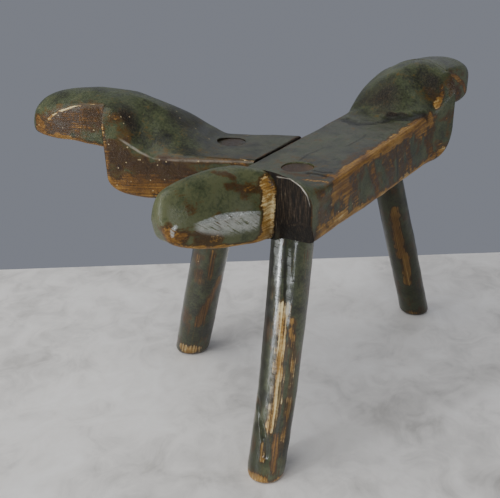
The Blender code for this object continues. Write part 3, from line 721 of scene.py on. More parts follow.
print("legs at their feet, thickness in mm:", [round(2 * leg["end"] / MM, 1) for leg in LEGS.values()])

# %% [markdown]
# A leg is a shaved round, straight or nearly so, that tapers into its mortise. Shaving leaves long
# narrow flats, and the near leg bows a little to one side and has a split. Each foot is worn round at
# its edge and stands flat on the floor, so a leg's rings are laid level instead of square to it.

# %% Shaved legs
def leg_grid(leg):
    """Rings along a bowed axis; the radius tapers, is shaved in long flats, and rounds in at the foot."""
    face_count = len(TENON_FACE_SHARES)
    in_mortise = np.linspace(-leg["sink"], -leg["depth"], MORTISE_RINGS)
    below = np.linspace(-leg["depth"], -SEAT_HEIGHT, LEG_RINGS)[1:]
    rise = np.concatenate([np.full(face_count, -leg["sink"]), in_mortise, below])
    rise = rise + leg["reach"] * (1 - ease(-rise / leg["depth"]))
    down = -rise / SEAT_HEIGHT
    top, foot, bow = (np.array(leg[size]) for size in ("top", "foot", "bow"))
    middle = top + (foot - top) * down[:, None] + bow * (4 * down * (1 - down))[:, None] * 2
    angle = np.linspace(0, 2 * np.pi, LEG_SIDES, endpoint=False)
    inside = np.clip(-rise / leg["depth"], 0, 1)
    outside = np.clip((-rise - leg["depth"]) / (SEAT_HEIGHT - leg["depth"]), 0, 1)
    radius = TENON_RADIUS + (leg["neck"] - TENON_RADIUS) * inside + (leg["end"] - leg["neck"]) * outside
    radius[:face_count] *= TENON_FACE_SHARES
    around = radius[:, None] * angle[None, :]
    along = -rise[:, None] + 0 * around
    flats = hollows(along, around, *SHAVING_FLAT, leg["seed"])
    aside = [np.cos(angle) * USUAL_RADIUS + 0 * along, np.sin(angle) * USUAL_RADIUS + 0 * along]
    spots = np.stack([*aside, along], -1)
    wave = LEG_WAVE * lumps(spots, LEG_WAVE_LENGTH, leg["seed"])
    wave = wave + LEG_SMALL_WAVE * lumps(spots, LEG_SMALL_WAVE_LENGTH, leg["seed"] + 1)
    shaved = radius[:, None] + (SHAVING_DEPTH * (flats - 0.4) + wave) * outside[:, None] ** 0.3
    worn = np.clip(1 - (SEAT_HEIGHT + rise) / FOOT_ROUND_HEIGHT, 0, 1)
    shaved = shaved - FOOT_ROUND * (1 - np.sqrt(1 - worn**2))[:, None]
    x = middle[:, 0:1] + np.cos(angle) * shaved
    y = middle[:, 1:2] + np.sin(angle) * shaved
    return np.stack([x, y, rise[:, None] + 0 * x], -1), along


leg_points, leg_along = {}, {}
for leg_name, leg_sizes in LEGS.items():
    leg_points[leg_name], leg_along[leg_name] = leg_grid(leg_sizes)
leg_points["near"] = groove(leg_points["near"], LEG_SPLIT, SPLIT_DEPTH)
legs = {leg_name: skin("shaved_leg_" + leg_name, points) for leg_name, points in leg_points.items()}

# %% [markdown]
# Colours are written as hex values, as a colour picker shows them, and a single function turns them
# to linear light. One more helper adds a node with its settings and its links in a line. Its inputs
# are given in the node's own order, or by their labels. Neither is about this stool in particular.

# %% Colour and node helpers
def linear(hex_colour):
    """sRGB to linear: a straight foot under 0.04045, and a power of 2.4 above it."""
    channels = [int(hex_colour[i:i + 2], 16) / 255 for i in (1, 3, 5)]
    return [c / 12.92 if c <= 0.04045 else ((c + 0.055) / 1.055) ** 2.4 for c in channels] + [1.0]


def add_node(tree, kind, settings=None, *inputs, **sockets):
    """Adds a node with its settings, colour stops, inputs and links, and returns its first result."""
    node = tree.nodes.new("ShaderNode" + kind)
    for word, value in (settings or {}).items():
        if word == "stops":
            band = node.color_ramp
            while len(band.elements) < len(value):
                band.elements.new(0.5)
            for element, (place, colour) in zip(band.elements, value):
                element.position = place
                element.color = linear(colour)
        else:
            setattr(node, word, value)
    shown = [socket for socket in node.inputs if socket.enabled]
    named = {socket.name.replace(" ", "_"): socket for socket in reversed(shown)}
    given = list(zip(shown, inputs)) + [(named[label], value) for label, value in sockets.items()]
    for socket, value in given:
        if isinstance(value, bpy.types.NodeSocket):
            tree.links.new(value, socket)
        else:
            socket.default_value = value
    return next(socket for socket in node.outputs if socket.enabled)


print("middle grey in linear light", [round(channel, 3) for channel in linear("#808080")])


# %% [markdown]
# Age is laid on in the order it came. Hands and knees rubbed the paint from sharp places first, so
# one field follows the sharpness. Other places are known from the photograph, such as the orange band
# along the seat's right arris, and are listed one by one: a broken line in millimetres from the drawing
# zero, how wide and how far it is rubbed, and the tone of the wood, from 0, dark, to 1, pale cream.

# %% Worn places on the long timber: tone, half width in mm, strength, line in mm
BEAM_WORN = (
    (0.62, 5, 1.0, (
        (270, -47, -4), (197, -45, -2), (144, -45, -2), (114, -44, -1), (83, -44, -1), (51, -44, -1),
        (28, -46, -3),
    )),
    (0.55, 9, 0.9, ((17, -47, -7), (13, -47, -15))),
    (0.60, 7, 0.8, ((251, -46, -10), (223, -46, -11))),
    (0.75, 4, 1.0, ((293, -47, 11), (289, -47, 8))),
    (0.68, 5, 0.85, (
        (-21, -46, -43), (24, -46, -46), (94, -46, -50), (180, -46, -56), (262, -46, -58), (301, -54, -51),
    )),
    (0.60, 8, 0.78, ((-15, -46, -39), (6, -47, -38), (34, -47, -42))),
    (0.62, 7, 0.88, ((36, -47, -9), (22, -47, -12), (40, -47, -17))),
    (0.50, 7, 0.62, ((47, -47, -12), (58, -47, -39))),
    (0.55, 5, 0.68, ((95, -47, -13), (111, -47, -43))),
    (0.60, 5, 0.55, ((128, -47, -15), (150, -47, -44))),
    (0.60, 7, 0.5, ((172, -47, -20), (184, -47, -46))),
    (0.55, 5, 0.6, ((189, -47, -12), (217, -46, -54))),
    (0.50, 5, 0.6, ((250, -46, -14), (280, -48, -51))),
    (0.55, 6, 0.36, ((60, -35, 0), (110, -38, 0))),
    (0.80, 6, 0.95, ((-40, -7, 5), (-41, -10, -11), (-40, -8, -30), (-43, -6, -42))),
    # A thin cream line on the low shoulder's arris: worn wood with a painted highlight.
    (0.88, 1.2, 0.8, ((-35, -11, 7), (-36, -10, -13), (-36, -9, -32), (-36, -7, -42))),
    (0.60, 2.6, 0.85, ((-121, 30, -27), (-108, 20, -31), (-88, 10, -36), (-67, 2, -42), (-46, -5, -44))),
    (0.50, 6, 0.9, ((-126, 33, -16), (-121, 27, -20))),
    (0.55, 3, 0.5, ((-72, 10, 11), (-58, 3, 6), (-45, -5, 2))),
    (0.35, 2.5, 0.45, ((-74, 21, 22), (-66, 15, 19), (-62, 11, 16))),
    (0.60, 5, 0.5, ((-106, 17, -22), (-94, 10, -26))),
    (0.75, 2.5, 0.7, ((-1, -24, 0), (2, -34, 0), (3, -43, 0))),
    (0.50, 3, 0.4, ((11, 5, 0), (10, -12, 0), (9, -29, 0))),
    (0.50, 2.5, 0.9, ((321, -41, 35), (341, -50, 31), (366, -54, 17), (378, -54, 5))),
    (0.35, 7, 0.6, ((320, -53, 26), (353, -52, 7))),
    (0.55, 3, 0.8, ((308, -42, 27), (299, -47, 15))),
)
print(len(BEAM_WORN), "worn places on the long timber")

# %% [markdown]
# The short timber is worn where hands held it. Its grip has a thin pale line along its upper edge,
# worn wood with a painted highlight, its shoulder is rubbed at the rim, and its front side is worn to
# orange brown low down, below a stretch of dark brown. A small tone gives that dark brown, and a large
# one the pale line.

# %% Worn places on the short timber
ARM_WORN = (
    (0.34, 10, 0.6, ((-21, 262, 20), (-19, 247, 24), (-15, 227, 31), (-9, 210, 36))),
    # The grip's upper arris: a thin cream line of worn wood with a painted highlight.
    (0.97, 0.8, 0.9, ((-21, 271, 20), (-21, 262, 30), (-20, 249, 38), (-14, 230, 44), (-7, 210, 46))),
    (0.50, 5, 0.9, ((-21, 276, 25), (-21, 276, 19))),
    (0.68, 3, 0.9, ((-20, 271, 12), (-19, 248, 12), (-12, 225, 7), (-6, 208, 3))),
    (0.60, 2.5, 0.7, ((-7, 203, 41), (-19, 192, 25), (-19, 191, 0), (-19, 192, -27))),
    (0.45, 11, 0.8, ((-13, 174, -32), (-5, 150, -33), (4, 120, -31), (14, 94, -29))),
    (0.12, 9, 0.6, ((-16, 181, 5), (-11, 167, -6), (-4, 148, -16), (8, 114, -15))),
    (0.60, 3, 0.8, ((-18, 190, -29), (-13, 178, -39), (-5, 153, -43))),
    (0.80, 1.2, 0.7, ((30, 63, 0), (30, 55, -1), (31, 48, -1))),
    (0.50, 2.5, 0.5, ((5, 123, -3), (15, 94, -4), (26, 66, -1))),
)
print(len(ARM_WORN), "worn places on the short timber")

# %% [markdown]
# The legs were knocked and rubbed down their length. On the near leg two pale strips run side by side,
# where a window also shines on it, and the sunk end of its tenon is brown wood, palest at one side.
# The left leg is worn palest near its foot, and the far leg carries one broad orange strip.

# %% Worn places on the legs
LEG_WORN = {
    "near": (
        (0.87, 4.2, 0.76, ((-23, -12, -118), (-33, -14, -159), (-45, -15, -206), (-56, -13, -236))),
        (0.74, 2.8, 0.86, ((-20, -19, -132), (-27, -21, -172), (-36, -23, -212), (-50, -22, -250))),
        (0.50, 2.2, 0.8, ((-54, -19, -241), (-59, -20, -261), (-63, -21, -276))),
        (0.75, 2.4, 0.8, ((-62, -9, -251), (-66, -10, -266))),
        (0.45, 2.0, 0.5, ((-14, -22, -145), (-22, -23, -185))),
        (0.35, 12, 0.9, ((27, 1, -1), (33, 0, -1))),
        (0.60, 5, 0.9, ((36, -9, -1), (37, -11, -1))),
    ),
    "left": (
        (0.50, 3.5, 0.9, ((87, 133, -172), (80, 144, -198), (76, 164, -239))),
        (0.45, 2.5, 0.6, ((68, 129, -129), (72, 139, -167))),
        (0.80, 5, 0.9, ((76, 190, -280), (82, 174, -282))),
        (0.25, 9, 0.5, ((70, 100, 0), (80, 104, 0))),
    ),
    "far": (
        (0.58, 4.4, 1.0, ((248, -17, -118), (262, -19, -161), (271, -22, -186))),
        (0.60, 4.0, 0.95, ((273, -26, -186), (287, -27, -231))),
        (0.50, 3, 0.7, ((305, -26, -286), (309, -37, -285))),
    ),
}
print("worn places on each leg", {leg_name: len(strokes) for leg_name, strokes in LEG_WORN.items()})

# %% [markdown]
# Three more kinds of marks follow. The low grip's side facet has a silvery shine between two curves,
# given as distances along and heights in metres: a painted reflection with some polish. A painted glint
# lies on the nose, and a painted reflection, partly polish, on the near leg.
# Thin pale lines, worn with a painted highlight, run along the sharpest arrises. Grime darkens
# cracks, creases and pits, painted shade darkens the near leg's shaded side and the low shoulder's
# underside, and the left and far legs are darker down their length. These marks are listed as lines
# too, but no tone is read for them, so it is 0.

# %% Polish with painted reflections, grime with painted shade
# The low grip's facet: a painted reflection of a window, with some polish, between these two curves.
FACET_EDGE = ((-0.114, -0.007), (-0.089, -0.005), (-0.066, -0.009), (-0.051, -0.013))
FACET_FOOT = ((-0.113, -0.018), (-0.085, -0.028), (-0.052, -0.033))
FACET_OUT, FACET_IN = -0.116, -0.049
FACET_TOP_BLEND, FACET_OUT_BLEND, FACET_IN_BLEND = 0.0014, 0.014, 0.005
# A painted glint on the low grip's nose.
TIP_GLINT = ((0, 1.3, 0.9, ((-122, 27, -8), (-124, 29, -11), (-124, 30, -16))),)
# The short timber's front arris: a pale worn line with a painted highlight on it.
ARM_LINE_AND_HIGHLIGHT = (
    (0, 0.8, 0.35, ((-13, 180, 18), (-11, 171, 13), (-7, 157, 4), (-3, 144, -2))),
    (0, 0.8, 0.18, ((-3, 144, -2), (4, 124, -3), (15, 94, -3), (30, 50, -2))),
)
# The low shoulder's arris: a pale worn line with a painted highlight on it.
SHOULDER_LINE_AND_HIGHLIGHT = (
    (0, 0.3, 0.55, ((-34, -14, 12), (-34, -26, 12))),
    (0, 0.3, 0.8, ((-34, -26, 12), (-34, -36, 7), (-34, -42, 0), (-34, -45, -10))),
    (0, 0.3, 0.5, ((-34, -45, -10), (-34, -46, -25))),
)
# A painted reflection of a window down the near leg, with some polish.
LEG_POLISH_AND_REFLECTION = (
    (0, 3.4, 0.75, ((-8, 3, -60), (-18, -2, -98))),
    (0, 2.4, 0.5, ((-18, -3, -98), (-34, -9, -154), (-43, -10, -187), (-55, -10, -226))),
    (0, 1.5, 0.7, ((-8, -11, -66), (-16, -14, -103), (-24, -17, -135))),
)
LEG_GRIME_AND_SHADE = {
    "near": LEG_SPLIT + (
        (0, 0.9, 0.9, ((-4, -5, -50), (-7, -6, -62), (-20, -12, -112))),
        (0, 4, 0.55, ((-36, -23, -215), (-42, -24, -245), (-49, -25, -275))),
        # Painted shade down the near leg's shaded left side, to its foot.
        (0, 5.5, 0.95, ((-8, 11, -55), (-19, 9, -116), (-34, 6, -163), (-50, 3, -210), (-58, 2, -236))),
        (0, 9, 0.6, ((-60, 4, -245), (-68, -2, -272))),
        (0, 1.0, 0.9, ((-40, -17, -190), (-46, -18, -215), (-52, -17, -240))),
    ),
    # The left and far legs are darkened down their length.
    "left": ((0, 20, 0.5, ((80, 140, -80), (95, 185, -270))),),
    "far": ((0, 24, 0.75, ((230, -10, -80), (322, -34, -291))),),
}
BEAM_GRIME_AND_SHADE = HUMP_CREASE + SEAT_CRACKS + (
    (0, 5, 0.4, ((34, 41, 0), (64, 38, 0))),
    # Painted shade where the low shoulder curves under.
    (0, 9, 0.8, ((-32, -14, -42), (-31, -46, -42))),
    (0, 5, 0.45, ((1, -47, -19), (14, -47, -27))),
    (0, 1.3, 0.9, ((-6, -47, -37), (0, -47, -40))),
    (0, 1.3, 0.9, ((4, -47, -33), (9, -47, -37))),
    (0, 1.0, 0.7, ((66, -47, -12), (70, -47, -44))),
    (0, 1.0, 0.7, ((160, -47, -12), (168, -47, -48))),
)
print(len(BEAM_GRIME_AND_SHADE), "grimy places on the long timber,", len(LEG_GRIME_AND_SHADE["near"]), "on the near leg")


# %% [markdown]
# The paint reads ten fields that the mesh carries on its points. "Grain" is the place measured along
# the timber, "end" says where its end grain shows, "bare" how far the paint is rubbed and "tone" how
# pale the wood is. Three come from the lists above: grime with painted shade, polish with a painted
# reflection, and pale lines with a painted highlight. "Speck" says how many chips there are, one more
# greys the flat tops, partly as wear by sitters and partly as a painted sheen, and "tint" drifts from
# green black to olive.

# %% Fields of age
FIELDS = ("grain", "end", "bare", "tone", "grime", "silver", "line", "speck", "sat", "tint")
# Bends are in 1/m: a corner starts to wear at a radius of 20 mm and is worn most at 4.5 mm.
WEAR_FROM, WEAR_MOST = 50, 220
HOLLOW_FROM, HOLLOW_MOST = 30, 150
FOOT_WEAR, FOOT_WEAR_BLEND, FOOT_TONE = 0.009, 0.006, 0.7
# Sizes of the lumps that make each field uneven, in metres.
EDGE_LUMPS, BROKEN_LUMPS, CRUMBS, TONE_LUMPS = 0.022, 0.016, 0.007, 0.02
DRIFT_LUMPS, MOTTLE_LUMPS, FOOT_LUMPS = 0.05, 0.014, 0.008


def write_field(piece, name, values):
    """Stores one number, or one vector, for each vertex, with the end points taking their ring's."""
    kind = "FLOAT_VECTOR" if values.ndim == 3 else "FLOAT"
    flat = values.reshape(-1, *values.shape[2:])
    ends = np.stack([values[0].mean(0), values[-1].mean(0)])
    field = piece.data.attributes.new(name, kind, "POINT")
    word = "vector" if values.ndim == 3 else "value"
    field.data.foreach_set(word, np.concatenate([flat, ends]).ravel())


def lay_age(
    piece, points, grain, axis, worn, silver=0.0, lines_and_highlights=(), grime=(), seed=1, edge_wear=0.75,
    thinness=0.3, fade=0.0, sat=0.0, specks=0.03, foot=0.0,
):
    """Paint is off at sharp edges, listed places, the foot, and where it is thin: the most of the four."""
    normal = grid_normals(points)
    sharp = sharpness(points, normal, 3)
    edge = edge_wear * ease((sharp - WEAR_FROM) / (WEAR_MOST - WEAR_FROM))
    edge = edge * (0.5 + 0.6 * lumps(points, EDGE_LUMPS, seed))
    placed, tone = to_lines(points, worn)
    sides = 1 - ease((normal[..., 2] - 0.3) / 0.5)
    broken = 0.5 * lumps(points, BROKEN_LUMPS, seed + 3) + 0.35 * lumps(points, CRUMBS, seed + 4)
    thin = thinness * (0.45 + 0.55 * sides) + broken * (0.18 + 0.82 * sides)
    hollow = ease((-sharpness(points, normal, 4) - HOLLOW_FROM) / (HOLLOW_MOST - HOLLOW_FROM))
    end = ease((np.abs((normal * axis).sum(-1)) - 0.45) / 0.3)
    low = (FOOT_WEAR - SEAT_HEIGHT - points[..., 2]) / FOOT_WEAR_BLEND
    worn_foot = foot * ease(low + 1.3 * lumps(points, FOOT_LUMPS, seed + 6))
    bare = np.maximum(np.maximum(edge, placed), np.maximum(thin, worn_foot))
    tone = tone + (FOOT_TONE - tone) * worn_foot
    write_field(piece, "grain", grain)
    write_field(piece, "end", end)
    write_field(piece, "bare", bare)
    write_field(piece, "tone", np.clip(tone + 0.16 * lumps(points, TONE_LUMPS, seed + 1), 0, 1))
    # Grime with painted shade from the lists, and darker in hollows.
    write_field(piece, "grime", np.maximum(to_lines(points, grime)[0], 0.8 * hollow))
    # Polish, with a painted reflection and glint on the low grip and a painted reflection on the near leg.
    write_field(piece, "silver", silver + 0 * tone)
    # Pale worn lines on the arrises, with a painted highlight.
    write_field(piece, "line", to_lines(points, lines_and_highlights)[0])
    write_field(piece, "speck", specks * (0.15 + 0.85 * sides))
    # Upward faces are greyed: wear by sitters and a painted sheen.
    write_field(piece, "sat", sat * ease((normal[..., 2] - 0.75) / 0.2))
    drift = 0.3 * lumps(points, DRIFT_LUMPS, seed + 2) + 0.3 * lumps(points, MOTTLE_LUMPS, seed + 5)
    write_field(piece, "tint", 0.5 + fade + 0.18 * sides + drift)
    print(piece.name, "more than half rubbed bare:", f"{(bare > 0.5).mean():.0%}", "of its points")


def facet_polish_and_reflection(points):
    """Painted reflection with some polish: full just under the facet's upper edge, less and less to its
    foot.
    """
    x, y, z = np.moveaxis(points, -1, 0)
    edge, foot = follow(FACET_EDGE, x), follow(FACET_FOOT, x)
    under = ease((edge - z) / FACET_TOP_BLEND)
    fade = 1 - ease(((edge - z) / (edge - foot) - 0.5) / 0.7)
    ends = ease((x - FACET_OUT) / FACET_OUT_BLEND) * ease((FACET_IN - x) / FACET_IN_BLEND)
    return under * fade * ends * (grid_normals(points)[..., 1] < -0.3)


# %% [markdown]
# The two timbers come first. The long one's paint is thinner and paler in some stretches than in
# others, so two small curves along it give its thinness and its fading. Only the flat of the seat
# between the humps is greyed, partly as wear by sitters and partly as a painted sheen. The short
# timber lost more paint on its front side, before the hump.

# %% Age on the two timbers
BEAM_THINNESS = (
    (-0.14, -0.08), (-0.04, -0.04), (-0.02, 0.26), (0.10, 0.13), (0.24, 0.1), (0.32, 0.1), (0.41, 0.1),
)
BEAM_FADING = ((-0.14, 0.54), (-0.04, 0.49), (0.0, 0.22), (0.2, 0.2), (0.3, 0.22), (0.41, 0.3))
SAT_AND_SHEEN_PAST, SAT_AND_SHEEN_BLEND, ARM_SAT_AND_SHEEN_END = 0.03, 0.05, 0.085
ARM_THIN_FROM, ARM_THIN_BLEND, ARM_THIN_END, ARM_THIN_FADE = 0.02, 0.02, 0.17, 0.03
SAWN_UP_TO = 0.97

beam_grain = np.stack([beam_run[:, None] + 0 * beam_across, beam_across, beam_points[..., 2]], -1)
beam_axis = np.stack([np.cos(beam_turn), np.sin(beam_turn), 0 * beam_turn], -1)
beam_axis = beam_axis * (beam_past < SAWN_UP_TO)[:, None, None]
beam_thin = follow(BEAM_THINNESS, beam_run)
beam_fade = follow(BEAM_FADING, beam_run)
# The seat's flat between the humps is greyed, as wear by sitters and a painted sheen.
beam_sat_and_sheen = ease((beam_run + SAT_AND_SHEEN_PAST) / SAT_AND_SHEEN_BLEND) * ease((BEAM_SPAN + SAT_AND_SHEEN_PAST - beam_run) / SAT_AND_SHEEN_BLEND)
# The low grip's facet and nose: polish with a painted reflection and a painted glint.
beam_polish_and_reflection = np.maximum(facet_polish_and_reflection(beam_points), to_lines(beam_points, TIP_GLINT)[0])
lay_age(
    beam, beam_points, beam_grain, beam_axis, BEAM_WORN, beam_polish_and_reflection, SHOULDER_LINE_AND_HIGHLIGHT, BEAM_GRIME_AND_SHADE,
    seed=3, thinness=beam_thin[:, None], fade=beam_fade[:, None], sat=beam_sat_and_sheen[:, None],
)

arm_grain = np.stack([arm_run, arm_across, arm_points[..., 2]], -1)
arm_axis = np.array((*arm_along, 0)) * (arm_past < SAWN_UP_TO)[:, None, None]
on_front = ease((arm_across - ARM_THIN_FROM) / ARM_THIN_BLEND)
arm_thin = 0.05 + 0.3 * on_front * ease((ARM_THIN_END - arm_run) / ARM_THIN_FADE)
# The short timber's root end is greyed the same way: wear by sitters and a painted sheen.
arm_sat_and_sheen = ease((ARM_SAT_AND_SHEEN_END - arm_run) / SAT_AND_SHEEN_BLEND)
lay_age(
    arm, arm_points, arm_grain, arm_axis, ARM_WORN, lines_and_highlights=ARM_LINE_AND_HIGHLIGHT, seed=9,
    thinness=arm_thin, fade=0.1, sat=arm_sat_and_sheen, specks=0.9,
)

# %% [markdown]
# A leg's grain runs along it, so its coordinates are the way down the leg and the place across it.
# Only the tenon's sunk end shows end grain, and a weaker one than the sawn shoulders have.

# %% Age on the legs
TENON_END = 0.62

for leg_name, points in leg_points.items():
    sizes, along = LEGS[leg_name], leg_along[leg_name]
    from_axis = points - points.mean(1, keepdims=True)
    grain = np.stack([along, from_axis[..., 0], from_axis[..., 1]], -1)
    on_tenon_end = along[:, :1] < sizes["sink"] + 1e-5
    tenon_axis = np.array((0, 0, TENON_END)) * on_tenon_end[..., None]
    # Only the near leg carries a painted reflection, with some polish.
    leg_polish_and_reflection = to_lines(points, LEG_POLISH_AND_REFLECTION)[0] if leg_name == "near" else 0.0
    # Upward faces of the legs are greyed by half: wear and a painted sheen.
    lay_age(
        legs[leg_name], points, grain, tenon_axis, LEG_WORN[leg_name], leg_polish_and_reflection,
        grime=LEG_GRIME_AND_SHADE[leg_name], seed=sizes["seed"], edge_wear=0.7, thinness=-0.05,
        fade=sizes["fade"], sat=0.5, foot=sizes["foot_wear"],
    )

# %% [markdown]
# Two tenons come right through, and their ends show as sunk ovals in the seat. So the mortises are
# really bored: a cone a little wider than the leg is taken out of the timber. Points that the bore
# makes have no age yet, and each takes the fields of the nearest point that has.

# %% Bore the mortises
BORE_CLEARANCE = 0.0003
PAST_FACE, PAST_MORTISE = 0.03, 0.02
NEARBY = 0.09
SHARP_RIM = math.radians(50)


def read_field(mesh, name):
    """One row for each vertex: three numbers where the field is a vector, else one."""
    field = mesh.attributes[name]
    width = 3 if field.data_type == "FLOAT_VECTOR" else 1
    values = np.zeros(len(mesh.vertices) * width)
    field.data.foreach_get("vector" if width == 3 else "value", values)
    return values.reshape(-1, width)


def give_new_points_age(mesh, centre):
    """Points with no tint are new; each takes all fields of the nearest older point round the centre."""
    places = np.zeros(3 * len(mesh.vertices))
    mesh.vertices.foreach_get("co", places)
    places = places.reshape(-1, 3)
    aged = read_field(mesh, "tint")[:, 0] > 0
    close = aged & (np.linalg.norm(places - centre, axis=1) < NEARBY)
    fresh, known = np.flatnonzero(~aged), np.flatnonzero(close)
    apart = np.linalg.norm(places[fresh, None] - places[None, known], axis=-1)
    nearest = known[apart.argmin(1)]
    for word in FIELDS:
        values = read_field(mesh, word)
        values[fresh] = values[nearest]
        kind = "vector" if values.shape[1] == 3 else "value"
        mesh.attributes[word].data.foreach_set(kind, values.ravel())


def bore(piece, leg):
    """Takes out a cone along the leg's axis: radius and place go in straight lines from end to end."""
    angle = np.linspace(0, 2 * np.pi, LEG_SIDES, endpoint=False)
    rise = np.array((PAST_FACE, 0.0, -leg["depth"], -leg["depth"] - PAST_MORTISE))
    share = -rise / leg["depth"]
    radius = TENON_RADIUS + (leg["neck"] - TENON_RADIUS) * share + BORE_CLEARANCE
    top, foot = np.array(leg["top"]), np.array(leg["foot"])
    middle = top - (foot - top) * rise[:, None] / SEAT_HEIGHT
    x = middle[:, 0:1] + np.cos(angle) * radius[:, None]
    y = middle[:, 1:2] + np.sin(angle) * radius[:, None]
    cutter = skin("bore", np.stack([x, y, rise[:, None] + 0 * x], -1))
    change = piece.modifiers.new("mortise", "BOOLEAN")
    change.operation = "DIFFERENCE"
    change.solver = "EXACT"
    change.object = cutter
    bpy.context.view_layer.update()
    shown = piece.evaluated_get(bpy.context.evaluated_depsgraph_get())
    cut = bpy.data.meshes.new_from_object(shown)
    piece.modifiers.clear()
    piece.data = cut
    bpy.data.objects.remove(cutter)
    give_new_points_age(cut, np.array((*top, 0.0)) + DRAWING_ZERO)
    cut.set_sharp_from_angle(angle=SHARP_RIM)
    print(piece.name, "after boring:", len(cut.vertices), "points")


bore(beam, LEGS["near"])
bore(arm, LEGS["left"])

# %% [markdown]
# The finish is old oil paint over hardwood, sealed with varnish. It could be painted as a picture, but
# noises that are mixed in the material stay sharp from near and need no unwrapping. There are three
# such paints, one for each timber and one for the legs, whose wear is drawn out longer and whose
# varnish is glossier. Each first gets the mesh's fields and its noises, with sizes in millimetres.
# Real brush marks are a few tenths of a millimetre wide, too fine to show at the photograph's size,
# so the streaks are drawn one and a half to two millimetres wide.

# %% Three paints, their fields and their noises
PAINTS = {
    "timber": dict(
        title="varnished green paint on the seat timber", streak_mm=(45, 1.8), ragged=(0.9, 0.75, 0.7),
        coat=0.15, coat_roughness=0.2, gloss=0.22, relief=0.7,
    ),
    "arm": dict(
        title="varnished green paint on the side timber", streak_mm=(45, 1.8), ragged=(0.9, 0.75, 0.7),
        coat=0.12, coat_roughness=0.25, gloss=0.25, relief=0.7,
    ),
    "leg": dict(
        title="varnished green paint on the legs", streak_mm=(90, 1.4), ragged=(0.4, 0.4, 1.7),
        coat=1.0, coat_roughness=0.05, gloss=0.22, relief=0.3,
    ),
}
CLOUD_MM, BLOTCH_MM, FINE_MM = 24, 9, 2.5
SAW_MARK_MM = (1.1, 1.1, 14)
SCRATCH_METRES = (0.001, 0.012, 0.012)


def start_paint(settings):
    """A new material, the fields it reads and its noises; 1000 over a size in mm gives a noise's scale."""
    finish = bpy.data.materials.new(settings["title"])
    finish.use_nodes = True
    add = partial(add_node, finish.node_tree)
    place = add("TexCoord").node.outputs["Object"]
    fields = {}
    for word in FIELDS:
        reader = add("Attribute", dict(attribute_name=word)).node
        fields[word] = reader.outputs["Vector" if word == "grain" else "Fac"]
    length, width = settings["streak_mm"]
    along_grain = add("Mapping", Vector=fields["grain"], Scale=(1000 / length, 1000 / width, 1000 / width))
    upright = add("Mapping", Vector=place, Scale=tuple(1000 / size for size in SAW_MARK_MM))
    slanting = dict(vector_type="TEXTURE")
    slanted = add("Mapping", slanting, Vector=place, Rotation=(0, -0.9, -0.36), Scale=SCRATCH_METRES)
    noises = dict(
        streak=add("TexNoise", Vector=along_grain, Scale=1.0, Detail=5.0, Roughness=0.62),
        cloud=add("TexNoise", Vector=place, Scale=1000 / CLOUD_MM, Detail=3.0, Roughness=0.55),
        blotch=add("TexNoise", Vector=place, Scale=1000 / BLOTCH_MM, Detail=6.0, Roughness=0.65),
        fine=add("TexNoise", Vector=place, Scale=1000 / FINE_MM, Detail=4.0, Roughness=0.7),
        sawn=add("TexNoise", Vector=upright, Scale=1.0, Detail=4.0, Roughness=0.7),
        scratch=add("TexNoise", Vector=slanted, Scale=1.0, Detail=3.0, Roughness=0.6),
    )
    return SimpleNamespace(finish=finish, add=add, place=place, **fields, **noises, **settings)


paints = {part: start_paint(settings) for part, settings in PAINTS.items()}
print("nodes in each paint so far:", len(paints["timber"].finish.node_tree.nodes))


# %% [markdown]
# Paint doesn't end at a line. It wears thin first, so that it looks olive and brown, then a dark rim
# stands where dirt crept under its edge, and then comes bare wood. One measure of wear, the field with
# shares of three noises added, is read in steps for these layers. Whole paint drifts between green
# black, grey teal and olive, and the wood is streaked along its grain, from orange brown to cream.

# %% Whole paint, thin paint, dark rim and bare wood
WHOLE_PAINT = (
    (0.0, "#13140d"), (0.3, "#232518"), (0.5, "#323420"), (0.62, "#3a4027"), (0.8, "#454a2f"),
    (1.0, "#535638"),
)
THIN_PAINT = ((0.0, "#20170a"), (0.5, "#463311"), (1.0, "#655018"))
BARE_WOOD = ((0.0, "#1a0f05"), (0.25, "#3d260a"), (0.5, "#6a4714"), (0.75, "#96702e"), (1.0, "#dcc893"))
SAT_GREY_AND_SHEEN, RIM = "#4a4740", "#2e1a0b"
SAT_GREY_AND_SHEEN_SHARE, RIM_SHARE = 0.55, 0.6
THIN_FROM, THIN_TO, RIM_FROM, RIM_TO, WOOD_FROM, WOOD_TO = 0.12, 0.42, 0.38, 0.58, 0.52, 0.78
SMOOTH, MIX = dict(interpolation_type="SMOOTHSTEP"), dict(data_type="RGBA")
LESS, TIMES = dict(operation="SUBTRACT"), dict(operation="MULTIPLY")
TIMES_PLUS = dict(operation="MULTIPLY_ADD")


